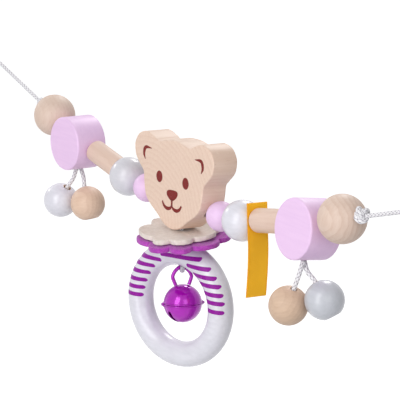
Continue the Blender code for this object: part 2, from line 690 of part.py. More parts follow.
def slot_mesh():
    """Cutter for the slot across the bell's bottom, its upper ends round."""
    bm = bmesh.new()
    box = (Matrix.Translation((0, 0, -SLOT_TOP - BELL_D / 2))
           @ Matrix.Diagonal((2 * BELL_D, SLOT_W, BELL_D, 1)))
    bmesh.ops.create_cube(bm, size=1, matrix=box)
    top = [e for e in bm.edges if all(v.co.z > -SLOT_TOP - 1e-6 for v in e.verts)
           and abs(e.verts[0].co.y - e.verts[1].co.y) < 1e-9]
    bmesh.ops.bevel(bm, geom=top, offset=SLOT_W * 0.45, segments=3, affect="EDGES")
    return mesh_from(bm, "slot")


def make_bell(hanger, looks, levels):
    """Jingle bell of two shells on a wire loop, with a loose pellet, hung on a cord loop."""
    metal = looks["purple_metal"]
    base = levels["bell_pivot"]
    pivot = make_pivot("bell_pivot", hanger, (0, 0, base - levels["pivot"]), (0, 0, BELL_TURN))
    tube("bell_hanger_loop", bell_eye_points(levels["bell_loop_top"] - base), HANGER_CORD_D, pivot,
         looks["white_cord"])
    bell = make_pivot("bell", pivot, (0, 0, 0), (-BELL_TIP, 0, 0))
    tube("bell_wire_loop", wire_points(levels["wire_top"] - base), WIRE_D, bell, metal)
    centre = (0, 0, levels["bell"] - base)
    make_object("bell_upper_shell", shell_mesh("bell_upper_shell"), bell, metal, centre)
    lower = make_object("bell_lower_shell", shell_mesh("bell_lower_shell"), bell, metal, centre,
                        (math.pi, 0, 0))
    cut(lower, slot_mesh(), centre, (0, 0, SLOT_TURN))
    rest = BELL_D / 2 - BELL_WALL - GAP - PELLET_D / 2
    make_object("bell_pellet", solid_ball_mesh("bell_pellet", PELLET_D, (0, 0, -rest)), bell,
                looks["steel"], centre, (BELL_TIP, 0, 0))


def make_tag(chain, looks, s):
    """Ribbon folded in half and pierced by the cord, its fold above; it bends back to hang."""
    point, slope = cord_at(s)
    outer, inner = TAG_T / 2, TAG_INSIDE / 2
    turn_at, bottom = TAG_ABOVE - outer, TAG_ABOVE - TAG_L
    rows = [bottom + (turn_at - bottom) * k / 10 for k in range(10)]
    bend = [k * math.pi / 6 for k in range(7)]
    outline = [(-outer, z) for z in rows]
    outline += [(-outer * math.cos(a), turn_at + outer * math.sin(a)) for a in bend]
    outline += [(outer, z) for z in rows[::-1]] + [(inner, z) for z in rows]
    outline += [(inner * math.cos(a), turn_at + inner * math.sin(a)) for a in bend]
    outline += [(-inner, z) for z in rows[::-1]]
    bm = slab(outline, TAG_W)
    for v in bm.verts:
        below = max(0.0, -v.co.z - TAG_FLAT)
        v.co.x -= math.tan(slope) * (below - TAG_BEND * (1 - math.exp(-below / TAG_BEND)))
        v.co.y += TAG_ASIDE
    roll = math.atan2(TAG_ASIDE, TAG_L / 2 - TAG_ABOVE)
    lay = Matrix.Rotation(-slope, 4, "Y") @ Matrix.Rotation(-roll, 4, "X")
    tag = make_object("ribbon_tag", mesh_from(bm, "ribbon_tag"), chain, looks["yellow_ribbon"], point,
                      lay.to_euler())
    cut(tag, drill("hole", CORD_D + 2 * TAG_ROOM, 4 * TAG_T, 4 * TAG_T), **on_cord(s))


def main():
    clear_scene()
    looks = make_finishes()
    at = places()
    levels = hanging_levels()
    chain = make_pivot("chain", None, -hook_point(at["left"]["loop_knot"]))
    make_main_cord(chain, looks, at)
    make_beads(chain, looks, at)
    for word, _ in SIDES:
        make_disc(chain, looks, word, at[word]["disc"])
        make_tassel(chain, looks, word, at[word]["disc"])
    make_head(chain, looks)
    hanger = make_hanger(chain, looks, levels)
    make_flowers(hanger, looks, levels)
    make_ring(hanger, looks, levels)
    make_bell(hanger, looks, levels)
    make_tag(chain, looks, at["right"]["tag"])


main()
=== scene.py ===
"""Looks of a wooden pram chain: bear head, beads, felt flowers, ring and bell on a braided cord.

Every length is in metres. Places along the chain are worked out from its middle, where the
cord runs through the head, with +X to the viewer's right, the fronts facing -Y and +Z up.
"""

import json
import math

import bmesh
import bpy
import numpy as np
from mathutils import Matrix, Vector


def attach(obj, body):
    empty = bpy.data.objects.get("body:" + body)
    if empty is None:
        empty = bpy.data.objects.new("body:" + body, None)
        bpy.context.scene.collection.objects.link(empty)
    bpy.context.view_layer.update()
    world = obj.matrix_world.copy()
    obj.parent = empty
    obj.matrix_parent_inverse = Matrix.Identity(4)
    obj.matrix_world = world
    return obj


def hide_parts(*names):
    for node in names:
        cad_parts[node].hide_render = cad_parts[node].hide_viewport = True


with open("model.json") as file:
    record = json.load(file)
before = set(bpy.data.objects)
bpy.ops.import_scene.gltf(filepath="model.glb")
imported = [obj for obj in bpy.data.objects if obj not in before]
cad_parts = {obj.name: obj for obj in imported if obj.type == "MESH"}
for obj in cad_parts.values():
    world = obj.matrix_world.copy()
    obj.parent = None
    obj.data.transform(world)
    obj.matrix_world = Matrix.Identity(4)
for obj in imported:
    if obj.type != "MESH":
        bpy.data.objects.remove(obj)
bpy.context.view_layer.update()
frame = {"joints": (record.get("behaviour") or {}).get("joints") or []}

# Point that each joint turns about, and its axis
PLACE = {joint["name"]: np.array(joint["pos_m"]) for joint in frame["joints"]}
AXIS = {joint["name"]: np.array(joint["axis"]) for joint in frame["joints"]}
MIDDLE = PLACE["bear_head_turn"]
SIDES = (("left", -1), ("right", 1))

# Photograph's camera, from the middle of the chain
CAMERA_TURN = math.radians(54.9)
CAMERA_RISE = math.radians(15.7)
CAMERA_DISTANCE = 1.033
CAMERA_AIM = np.array((0.0158, 0.0, 0.0062))
CAMERA_LENS = 171.0  # in mm, as is the sensor
CAMERA_SENSOR = 36.0

# Studio: each lamp's place from the middle, its size and its watts
LAMPS = {"window": ((0.35, -1.10, 0.40), (0.60, 1.40), 9.8),
         "rim": ((-1.10, -0.18, 0.36), (0.10, 0.10), 1.3),
         "top": ((-0.55, 0.68, 0.70), (0.30, 0.30), 4.4),
         "side": ((1.00, -0.25, 0.42), (0.60, 0.60), 1.9)}
FLOOR_DROP = 0.42
FLOOR_HALF = 6.0
FLOOR_GLOW = 0.80  # seen by the camera on top of the light on the paper
ROOM_LIGHT = 0.38  # on the object, where the camera sees white

# Cords
GAP = 0.0003
WELD = 2e-6  # points of a mesh that lie closer are one
CORD_D = 0.0020
CORD_SHOWN_D = 0.0023  # free cord, fuller than where it is drawn through
SOFT_CORD_D = 0.0026  # cord of the tassels and of the hanger
FOLD_R = (CORD_D + SOFT_CORD_D) / 2 + GAP
BRAID_LAY = 0.0027  # length of one crossing of the strands
BRAID_RELIEF = 0.13  # height of a strand, as a share of the cord's radius
BRAID_DIP = 0.55  # share of it that a strand loses at its crossings
KNOT_SWING = 0.42  # of a knot's reach, by which its strand swings in and out
KNOT_CORE = 0.62  # of its width, filled by the cord's straight part
KNOT_CORE_L = 0.84  # of its length
SAG_RADIUS = 0.389
END_SLOPE = math.radians(17.7)
LEAD_L = 0.0560
LOOP_L = 0.0150
LOOP_W = 0.0080
STOP_KNOT_L = 0.0064
STOP_KNOT_D = 0.0084

# Knots: each one's length, its width and the thickness of its strand
LOOP_KNOT = (0.0060, 0.0066, 0.0018)
TASSEL_KNOT = (0.0040, 0.0056, 0.0016)
HANGER_KNOT = (0.0040, 0.0068, 0.0018)
RING_KNOT = (0.0030, 0.0062, 0.0014)
KNOT_SHOWN = {"left": (0.0058, 0.0068, 0.0020), "right": (0.0062, 0.0094, 0.0027)}
KNOT_RISE = {"left": 0.0, "right": 0.0009}

# Beads, dowels and discs
RIM_EDGE = 0.00025  # softened edge of a bore
BORE_D = 0.0034
END_BALL_D = 0.0250
BEADS = {"end_ball": (END_BALL_D, "beech"), "white_bead": (0.0224, "pearl_white"),
         "pink_bead": (0.0164, "pink")}
BLOCK_EDGE = 0.0009  # of the dowels and discs
DOWEL_D = 0.0130
DOWEL_L = 0.0272
DOWEL_BORE_D = 0.0058
DOWEL_OFF = {"left": (0.0015, 0.0), "right": (0.0010, 0.0012)}  # behind and above the cord
DISC_D = 0.0316
DISC_T = 0.0195
DISC_DROP = 0.0030
DISC_TIP = {"left": math.radians(3.0), "right": math.radians(9.6)}

# Tassels
TASSEL_BALL_D = 0.0206
TASSEL_BORE_D = {"left_front": 0.0046, "left_back": 0.0036,
                 "right_front": 0.0034, "right_back": 0.0036}
TASSEL_FLAT_D = 0.0090  # of the flat round its knot, and how far below the middle that lies
TASSEL_FLAT = math.sqrt((TASSEL_BALL_D / 2) ** 2 - (TASSEL_FLAT_D / 2) ** 2)
TASSEL_SEAT_D = 0.0068
TASSEL_SEAT_L = 0.0050
TASSEL_FEET = {"left": ((0.0, -0.0003), (0.0, 0.0026)),  # front and back foot
               "right": ((0.0013, -0.0009), (-0.0013, 0.0009))}
TASSEL_BOW = {"left_front": (0.0007, 0.0005), "left_back": (0.0004, 0.0003),
              "right_front": (0.0002, 0.0), "right_back": (-0.0007, -0.0010)}
# the right back ball wears the pearl lacquer made darker and greyer: painted shade
TASSEL_LOOKS = {"left_front": "pearl", "left_back": "left_tassel",
                "right_front": "right_tassel", "right_back": "cool_pearl"}

# Bear head
HEAD_W = 0.0542  # at the cord
HEAD_T = 0.0160
HEAD_ROUND = 0.0008
HEAD_ROLL = math.radians(3.0)
HEAD_TIP = math.radians(4.0)
HEAD_MIDDLE = 0.0090
HEAD_HEART = 0.0115  # above the cord, inside the outline
HEAD_BACK = 0.0004
HEAD_BORE_D = 0.0048
HEAD_PITH = (-0.0205, 0, -0.0106)
CROWN = 0.0363
EAR_W = 0.0758
CHIN = 0.0131

# Printed face: places across and above the cord, lines with their widths
PRINT_LIFT = 0.00002
PRINT_FRONT = -HEAD_T / 2 - PRINT_LIFT
PRINT_BACK = PRINT_FRONT + 0.00020  # sunk into the wood
EYE_PLACE = (0.0126, 0.0145)
EYE_HALF = (0.0030, 0.00325)
EAR_LINE = ((0.0268, 0.0221), (0.0282, 0.0253), (0.0266, 0.0288), (0.0207, 0.0290))
EAR_WIDTHS = (0.0004, 0.0019, 0.0025, 0.0018, 0.0003)
MOUTH_LINE = ((0, 0), (0.0016, -0.0015), (0.0045, -0.0020), (0.0073, -0.0010), (0.0093, 0.0014))
MOUTH_WIDTHS = (0.0011, 0.0018, 0.0021, 0.0018, 0.0012)
NOSE = ((-0.0038, 0.0083), (0.0002, 0.0089), (0.0044, 0.0087), (0.0055, 0.0071),
        (0.0038, 0.0046), (0, 0.0027), (-0.0038, 0.0044), (-0.0052, 0.0065))
NOSE_LINE = ((0, 0.0036), (0, 0.0018), (0, -0.0002))
NOSE_WIDTHS = (0.0018, 0.0016, 0.0016)

# Felt flowers
FELT_T = 0.0028
FELT_ROUND = 0.0006
FELT_BORE = 0.0019
FELT_LEVEL_R = 0.0100  # within it the felt lies flat
FELT_LIFT_R = 0.0160  # further out a petal has its lift
FELT_LUMP = 0.00005
SCALLOP_DEPTH = 0.0046
PETAL_POWER = 0.7  # of the sine that a petal's edge follows
FLOWER_TILT = math.radians(2.0)
FLOWER_RISE = math.radians(55.0)
NATURAL_D = 0.0460
NATURAL_ASIDE = (-0.0005, -0.0007)
NATURAL_NOTCHES = (-157, -87, -54, -14, 42, 84, 126, 165)  # in degrees
NATURAL_LIFTS = (0.0020, 0.0, 0.0010, 0.0025, 0.0014, 0.0012, 0.0012, 0.0026)
PURPLE_D = 0.0524
PURPLE_ASIDE = (0.0006, 0.0009)
PURPLE_NOTCHES = (-148, -92, -53, -20, 28, 72, 118, 163)
PURPLE_LIFTS = (0.0003, -0.0012, -0.0008, 0.0002, 0.0, 0.0, 0.0, 0.0002)

# Hanger and ring
HANGER_WELL_D = 0.0098
RING_D = 0.0724
RING_TUBE_D = 0.0144
RING_R = (RING_D - RING_TUBE_D) / 2
RING_TURN = math.radians(15.5)
RING_TIP = math.radians(4.0)
RING_BORE_D = 0.0040
RING_SEAT_D = 0.0076
RING_SEAT_L = 0.0036

# Painted stripes: both ends across the ring and the height over its middle
STRIPE_W = 0.0024
STRIPE_LIFT = 0.00004
STRIPE_DEPTH = 0.0002
STRIPES = ((-0.0262, -0.0095, 0.0241), (-0.0299, -0.0147, 0.0196), (-0.0327, -0.0183, 0.0149),
           (-0.0345, -0.0209, 0.0100), (-0.0356, -0.0224, 0.0054), (-0.0360, -0.0232, 0.0009),
           (0.0086, 0.0242, 0.0248), (0.0126, 0.0283, 0.0204), (0.0170, 0.0313, 0.0163),
           (0.0201, 0.0332, 0.0117), (0.0220, 0.0344, 0.0073), (0.0230, 0.0348, 0.0025),
           (-0.0100, 0.0178, 0.0286))
TOP_SLOPE = 0.055  # of the last stripe, over the ring's top

# Bell
BELL_D = 0.0210
BELL_SHOWN_D = 0.0215
BELL_WALL = 0.0006
BELL_BEAD_D = 0.0008  # rolled lip of each half at the seam
BELL_LIP_IN = 0.00022  # of the lip's middle, under the skin
BELL_LIP_GAP = 0.00005  # from the lip to the skin above it
BELL_SEAM = 0.00008  # from the bell's middle to each half
BELL_POINT = 0.0018  # cone drawn out at each side
BELL_POINT_R = 0.0017
BELL_TURN = math.radians(64.0)
BELL_TIP = math.radians(10.0)
SLOT_TURN = math.radians(31.0)
SLOT_W = 0.0028
SLOT_TOP = 0.0034
WIRE_D = 0.0012
WIRE_SHOWN_D = 0.0021
WIRE_FOOT = 0.0037
WIRE_W = 0.0104
WIRE_H = 0.0104
PELLET_D = 0.0050

# Ribbon
TAG_W = 0.0128
TAG_L = 0.0500
TAG_ABOVE = 0.0104
TAG_ASIDE = 0.0012
TAG_T = 0.0008
TAG_LAYER = 0.00030
TAG_FLAT = 0.0070
TAG_BEND = 0.0150
TAG_CURL = 0.0003
TAG_HOLE_D = 0.0030
SELVEDGE = (0.0011, 0.0007)  # from the edge, where it begins and where it is full


# Places and frames

def cord_at(s):
    """Point and direction of the main cord: an arc about the middle, then straight."""
    side = math.copysign(1, s)
    bend = min(abs(s) / SAG_RADIUS, END_SLOPE)
    beyond = abs(s) - bend * SAG_RADIUS
    across = SAG_RADIUS * math.sin(bend) + beyond * math.cos(bend)
    up = SAG_RADIUS * (1 - math.cos(bend)) + beyond * math.sin(bend)
    return MIDDLE + (side * across, 0, up), np.array((math.cos(bend), 0, side * math.sin(bend)))


def length_to(place):
    """Length along the main cord from the middle: radius times the arc's angle, then straight."""
    x = abs(place[0] - MIDDLE[0])
    arc_end = SAG_RADIUS * math.sin(END_SLOPE)
    if x <= arc_end:
        s = SAG_RADIUS * math.asin(x / SAG_RADIUS)
    else:
        s = SAG_RADIUS * END_SLOPE + (x - arc_end) / math.cos(END_SLOPE)
    return math.copysign(s, place[0] - MIDDLE[0])


def facing(axis):
    """Rotation whose Z lies along an axis."""
    return np.array(Vector(axis).to_track_quat("Z", "Y").to_matrix())


def turn_about(axis, angle):
    """Rotation by an angle about an axis."""
    return np.array(Matrix.Rotation(angle, 3, Vector(axis)))


def smooth_path(points, spans):
    """Catmull-Rom curve through points, with so many spans between two of them."""
    points = np.array(points, float)
    ends = np.vstack((2 * points[0] - points[1], points, 2 * points[-1] - points[-2]))
    before, here, there, after = (ends[k:len(ends) - 3 + k, None] for k in range(4))
    t = np.arange(spans)[:, None] / spans
    curve = 0.5 * (2 * here + (there - before) * t
                   + (2 * before - 5 * here + 4 * there - after) * t ** 2
                   + (3 * here - before - 3 * there + after) * t ** 3)
    return np.vstack((curve.reshape(-1, points.shape[1]), points[-1:]))


def even_path(points, step):
    """The same path with its points at even steps along it."""
    gone = np.concatenate(([0], np.cumsum(np.linalg.norm(np.diff(points, axis=0), axis=1))))
    count = max(3, int(round(gone[-1] / step)) + 1)
    stops = np.linspace(0, gone[-1], count)
    return np.stack([np.interp(stops, gone, line) for line in points.T], axis=1)


def mirrored(points, way):
    """Points (across, up) on the side asked for: a way of -1 mirrors them about the middle."""
    return [(way * x, z) for x, z in points]


# Materials

def linear(hex_colour):
    """Linear red, green, blue and alpha of an sRGB hex colour."""
    parts = [int(hex_colour[i:i + 2], 16) / 255 for i in (1, 3, 5)]
    return [c / 12.92 if c <= 0.04045 else ((c + 0.055) / 1.055) ** 2.4 for c in parts] + [1]


def fill(tree, node, inputs):
    """Gives a node's inputs their links, their hex colours or their plain values."""
    for key, value in inputs.items():
        if isinstance(value, bpy.types.NodeSocket):
            tree.links.new(value, node.inputs[key])
        else:
            node.inputs[key].default_value = linear(value) if isinstance(value, str) else value


def add(tree, kind, inputs=None, out=0, **settings):
    """Adds a shader node with its settings and its inputs, and gives one of its outputs."""
    node = tree.nodes.new("ShaderNode" + kind)
    for key, value in settings.items():
        setattr(node, key, value)
    fill(tree, node, inputs or {})
    return node.outputs[out]


def lumps(millimetres):
    """Scale of a noise whose lumps are so many millimetres across."""
    return 1000 / millimetres


def blank(name, roughness, **sockets):
    """A material with its Principled shader's plain sockets set."""
    material = bpy.data.materials.new(name)
    material.use_nodes = True
    tree = material.node_tree
    shader = tree.nodes["Principled BSDF"]
    fill(tree, shader, {"Roughness": roughness})
    fill(tree, shader, {key.replace("_", " "): value for key, value in sockets.items()})
    return material, tree, shader


def dress(material, tree, shader, share, first, last, height, strength, depth):
    """Finishes a material: a share of its last colour over its first, and a pattern's relief."""
    colour = add(tree, "Mix", {0: share, 6: first, 7: last}, 2, data_type="RGBA")
    bump = add(tree, "Bump", {"Strength": strength, "Distance": depth, "Height": height})
    fill(tree, shader, {"Base Color": colour, "Normal": bump})
    return material


def beech(name, pith, grain, light="#EACFBF", dark="#D2AC96", ring_step=0.0030, figure=0.2):
    """Bare sanded beech: growth rings about the pith, short dark rays and pores along the grain."""
    made = blank(name, 0.52)
    tree = made[1]
    place = add(tree, "TexCoord", out="Object")
    lay = Vector(grain).to_track_quat("Z", "X").to_euler()
    wood = add(tree, "Mapping", {"Vector": place, "Location": tuple(pith), "Rotation": lay},
               vector_type="TEXTURE")
    drift = add(tree, "TexNoise", {"Vector": wood, "Scale": lumps(14), "Detail": 2}, "Color")
    bent = add(tree, "VectorMath", {0: drift, 1: (0.0045, 0.0045, 0), 2: wood},
               operation="MULTIPLY_ADD")
    level = add(tree, "VectorMath", {0: bent, 1: (1, 1, 0)}, operation="MULTIPLY")
    radius = add(tree, "VectorMath", {0: level}, "Value", operation="LENGTH")
    years = add(tree, "Math", {0: radius, 1: ring_step}, operation="DIVIDE")
    season = add(tree, "Math", {0: years}, operation="FRACT")
    late = add(tree, "MapRange", {"Value": season, 1: 0.35, 2: 0.97, 3: 0.0, 4: figure})
    fibre = add(tree, "VectorMath", {0: wood, 1: (1, 1, 0.05)}, operation="MULTIPLY")
    streak = add(tree, "TexNoise", {"Vector": fibre, "Scale": lumps(1.1), "Detail": 3})
    tone = add(tree, "MapRange", {"Value": streak, 1: 0.3, 2: 0.75, 3: 0.0, 4: 0.26})
    depth = add(tree, "Math", {0: late, 1: tone}, operation="ADD", use_clamp=True)
    body = add(tree, "Mix", {0: depth, 6: light, 7: dark}, 2, data_type="RGBA")
    ray = add(tree, "VectorMath", {0: wood, 1: (1, 1, 0.22)}, operation="MULTIPLY")
    fleck = add(tree, "TexNoise", {"Vector": ray, "Scale": lumps(0.6), "Detail": 1})
    pores = add(tree, "MapRange", {"Value": fleck, 1: 0.68, 2: 0.78, 3: 0.0, 4: 0.30})
    sunk = add(tree, "Math", {0: 1.0, 1: pores}, operation="SUBTRACT")
    return dress(*made, pores, body, "#C09A78", sunk, 0.25, 0.0002)


def lacquer(name, light, dark, roughness, coat):
    """Lacquer sprayed on turned beech: nearly even, with the wood's grain faint beneath the gloss."""
    made = blank(name, roughness, Coat_Weight=coat, Coat_Roughness=0.12)
    tree = made[1]
    place = add(tree, "TexCoord", out="Object")
    grain = add(tree, "VectorMath", {0: place, 1: (0.12, 1, 1)}, operation="MULTIPLY")
    streak = add(tree, "TexNoise", {"Vector": grain, "Scale": lumps(2), "Detail": 3})
    tone = add(tree, "MapRange", {"Value": streak, 1: 0.35, 2: 0.7})
    return dress(*made, tone, light, dark, streak, 0.04, 0.0002)


def ink(name, colour, roughness=0.6, gloss=0.2):
    """Screen-printed ink: a little uneven where the wood's pores take it up, glossier if varnished."""
    material, tree, shader = blank(name, roughness, Specular_IOR_Level=gloss)
    place = add(tree, "TexCoord", out="Object")
    patch = add(tree, "TexNoise", {"Vector": place, "Scale": lumps(1.1), "Detail": 2})
    worn = add(tree, "MapRange", {"Value": patch, 1: 0.55, 2: 0.8, 3: 0.0, 4: 0.25})
    paler = [0.85 * c + 0.15 for c in linear(colour)]
    shade = add(tree, "Mix", {0: worn, 6: colour, 7: paler}, 2, data_type="RGBA")
    fill(tree, shader, {"Base Color": shade})
    return material


def felt(name, light, dark):
    """Pressed wool felt: matt, mottled, with a nap of tangled fibres that catches side light.

    The fibres are drawn 0.4 mm thick, ten times their size, because finer ones wouldn't show.
    """
    made = blank(name, 0.95, Sheen_Weight=0.35, Sheen_Roughness=0.5)
    tree = made[1]
    place = add(tree, "TexCoord", out="Object")
    cloud = add(tree, "TexNoise", {"Vector": place, "Scale": lumps(2.4), "Detail": 4})
    hair = add(tree, "TexNoise", {"Vector": place, "Scale": lumps(0.4), "Detail": 3,
                                  "Distortion": 2.5})
    tangle = add(tree, "Math", {0: cloud, 1: hair}, operation="ADD")
    tone = add(tree, "MapRange", {"Value": tangle, 1: 0.75, 2: 1.25})
    return dress(*made, tone, dark, light, tangle, 0.7, 0.0003)


def bell_coat(name, colour):
    """Anodised brass bell under purple lacquer: a coloured metal with a clear glossy coat."""
    material, tree, shader = blank(name, 0.18, Base_Color=colour, Metallic=0.25,
                                   Specular_IOR_Level=0.2, Coat_Weight=0.50, Coat_Roughness=0.04)
    place = add(tree, "TexCoord", out="Object")
    ripple = add(tree, "TexNoise", {"Vector": place, "Scale": lumps(3.8), "Detail": 2})
    bump = add(tree, "Bump", {"Strength": 0.03, "Distance": 0.0003, "Height": ripple})
    fill(tree, shader, {"Normal": bump})
    return material


def braid(name, light, dark):
    """Braided polyester: bright strands over gaps darkened by painted shade, read from the strands'
    height.

    Its yarn is drawn 0.2 mm thick, about four times its size, to show at all.
    """
    made = blank(name, 0.62)
    tree = made[1]
    height = add(tree, "Attribute", out="Fac", attribute_name="strand")
    # painted shade: the lower a point lies between the strands, the darker its colour
    tone = add(tree, "MapRange", {"Value": height, 1: 0.30, 2: 0.72})
    place = add(tree, "TexCoord", out="Object")
    yarn = add(tree, "TexNoise", {"Vector": place, "Scale": lumps(0.2), "Detail": 1})
    return dress(*made, tone, dark, light, yarn, 0.3, 0.0001)


def twill(name, light, dark, thread=0.00055):
    """Woven satin ribbon: diagonal twill drawn at about twice its thread, and denser selvedges.

    Its yarn gives back light in its own colour, so its gloss is tinted and partly metallic.
    """
    made = blank(name, 0.55, Metallic=0.45, Sheen_Weight=0.5, Sheen_Roughness=0.9,
                 Sheen_Tint=light, Specular_Tint=light)
    tree = made[1]
    uv = add(tree, "UVMap", uv_map="cloth")
    across, along = add(tree, "SeparateXYZ", {0: uv}).node.outputs[:2]
    slant = add(tree, "Math", {0: across, 1: along}, operation="ADD")
    steps = add(tree, "Math", {0: slant, 1: math.tau / thread}, operation="MULTIPLY")
    wale = add(tree, "Math", {0: steps}, operation="SINE")
    weft = add(tree, "Math", {0: along, 1: math.tau / thread}, operation="MULTIPLY")
    pick = add(tree, "Math", {0: weft}, operation="SINE")
    weave = add(tree, "Math", {0: pick, 1: 0.4, 2: wale}, operation="MULTIPLY_ADD")
    aside = add(tree, "Math", {0: across}, operation="ABSOLUTE")
    edge = add(tree, "MapRange", {"Value": aside, 1: TAG_W / 2 - SELVEDGE[0],
                                  2: TAG_W / 2 - SELVEDGE[1], 3: 0.0, 4: 0.55})
    tone = add(tree, "MapRange", {"Value": weave, 1: -1.4, 2: 1.4, 3: 0.35, 4: 0.0})
    depth = add(tree, "Math", {0: tone, 1: edge}, operation="ADD", use_clamp=True)
    return dress(*made, depth, light, dark, weave, 0.5, 0.00012)


# Meshes

def mesh_of(name, points, round_u=False, round_v=False, cap_u=False, marks=None):
    """Mesh over a grid of points: rows along u, columns along v, joined round where asked.

    cap_u closes the first and the last row with a fan. marks gives each row a material, where
    the rows go all the way round.
    """
    rows, columns = points.shape[:2]
    grid = np.arange(rows * columns).reshape(rows, columns)
    grid = np.pad(grid, ((0, int(round_u)), (0, int(round_v))), mode="wrap")
    low, high = grid[:-1], grid[1:]
    quads = np.stack((low[:, :-1], low[:, 1:], high[:, 1:], high[:, :-1]), axis=-1)
    vertices, fans = points.reshape(-1, 3), np.zeros((0, 3), int)
    if cap_u:
        tip = np.full(grid.shape[1] - 1, len(vertices))
        fans = np.vstack((np.stack((grid[0, 1:], grid[0, :-1], tip), axis=1),
                          np.stack((grid[-1, :-1], grid[-1, 1:], tip + 1), axis=1)))
        vertices = np.vstack((vertices, points[0].mean(0), points[-1].mean(0)))
    corners = np.concatenate((quads.ravel(), fans.ravel())).astype(np.int32)
    sizes = np.repeat((4, 3), (quads.size // 4, len(fans)))
    mesh = bpy.data.meshes.new(name)
    mesh.vertices.add(len(vertices))
    mesh.vertices.foreach_set("co", vertices.astype(np.float32).ravel())
    mesh.loops.add(len(corners))
    mesh.loops.foreach_set("vertex_index", corners)
    mesh.polygons.add(len(sizes))
    mesh.polygons.foreach_set("loop_start", (np.cumsum(sizes) - sizes).astype(np.int32))
    if marks is not None:
        index = np.repeat(marks, quads.shape[1]).astype(np.int32)
        mesh.polygons.foreach_set("material_index", index)
    mesh.update(calc_edges=True)
    return mesh


def outwards(mesh, weld=True):
    """Turns a mesh's faces outwards, once its seams and poles are closed, and shades it smooth."""
    bm = bmesh.new()
    bm.from_mesh(mesh)
    if weld:
        bmesh.ops.remove_doubles(bm, verts=bm.verts, dist=WELD)
        bmesh.ops.dissolve_degenerate(bm, edges=bm.edges, dist=WELD / 20)
    bmesh.ops.recalc_face_normals(bm, faces=bm.faces)
    bm.to_mesh(mesh)
    bm.free()
    mesh.shade_smooth()


def tidy(mesh, sharp=40):
    """Closes a mesh, turns its faces outwards and keeps its corners past an angle sharp."""
    outwards(mesh)
    mesh.set_sharp_from_angle(angle=math.radians(sharp))
    return mesh


def placed(name, data):
    """A new object of the scene, at the origin."""
    thing = bpy.data.objects.new(name, data)
    bpy.context.scene.collection.objects.link(thing)
    return thing


def piece(name, mesh, body, materials, *nodes, slot=None):
    """The finished piece: an object on its body that stands for CAD nodes."""
    thing = placed(name, mesh)
    for material in materials if isinstance(materials, (list, tuple)) else [materials]:
        mesh.materials.append(material)
    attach(thing, body)
    if nodes:
        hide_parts(*nodes)
    return thing


def formed(name, points, body, materials, *nodes, slot=None, sharp=40, round_u=False,
           cap_u=False, marks=None):
    """Piece over a grid of points whose columns go all the way round."""
    mesh = tidy(mesh_of(name, points, round_u, True, cap_u, marks), sharp)
    return piece(name, mesh, body, materials, *nodes, slot=slot)


def spin_points(profile, place, turn, count=96):
    """Profile of (radius, height) turned about the frame's Z: circles at each height."""
    angle = np.arange(count) * math.tau / count
    radius, height = np.array(profile).T
    local = np.stack((radius[:, None] * np.cos(angle), radius[:, None] * np.sin(angle),
                      np.repeat(height[:, None], count, axis=1)), axis=-1)
    return local @ np.asarray(turn).T + place


def arc(radius, start, end, count, across=0.0, up=0.0):
    """Points of a circle about (across, up) between two angles above the equator."""
    angle = np.linspace(start, end, count)
    return np.stack((across + radius * np.cos(angle), up + radius * np.sin(angle)), axis=1)


def ball_profile(diameter, bore):
    """Bored ball: its skin, with softened rims, and the wall of its bore, marked as bare wood."""
    r = diameter / 2
    top = math.acos((bore / 2 + RIM_EDGE) / r)
    deep = r * math.sin(top) - RIM_EDGE
    return walled(arc(r, top, -top, 40), [(bore / 2, -deep), (bore / 2, deep)])


def walled(skin, inner):
    """A skin's profile and its inner wall's, and a mark for each row: 0 on the skin, 1 inside."""
    return np.vstack((skin, inner)), np.repeat((0, 1), (len(skin), len(inner)))


def block_profile(diameter, length, steps, face):
    """Round block: a face of the radii given, two edges rounded by quarter circles, a face."""
    r, half = diameter / 2 - BLOCK_EDGE, length / 2
    face = np.stack((face, np.full(len(face), half)), axis=1)
    return np.vstack((face, arc(BLOCK_EDGE, math.pi / 2, 0, steps, r, half - BLOCK_EDGE),
                      arc(BLOCK_EDGE, 0, -math.pi / 2, steps, r, BLOCK_EDGE - half),
                      face[::-1] * (1, -1)))


def bored(thing, *holes):
    """Cuts round holes, each from one point to another with a diameter, out of a piece."""
    cutters = []
    for start, end, diameter in holes:
        start, end = np.asarray(start, float), np.asarray(end, float)
        profile = [(diameter / 2, 0), (diameter / 2, np.linalg.norm(end - start))]
        grid = spin_points(profile, start, facing(end - start), 40)
        cutters.append(placed("hole", tidy(mesh_of("hole", grid, round_v=True, cap_u=True))))
    return carved(thing, cutters)


def carved(thing, cutters):
    """Takes the cutters' shapes out of a piece and removes the cutters."""
    for cutter in cutters:
        cut = thing.modifiers.new("cut", "BOOLEAN")
        cut.operation, cut.solver, cut.object = "DIFFERENCE", "EXACT", cutter
    bpy.context.view_layer.update()
    seen = thing.evaluated_get(bpy.context.evaluated_depsgraph_get())
    mesh = bpy.data.meshes.new_from_object(seen)
    thing.modifiers.clear()
    thing.data = mesh
    mesh.shade_smooth()
    mesh.set_sharp_from_angle(angle=math.radians(40))
    for cutter in cutters:
        bpy.data.objects.remove(cutter)
    return thing


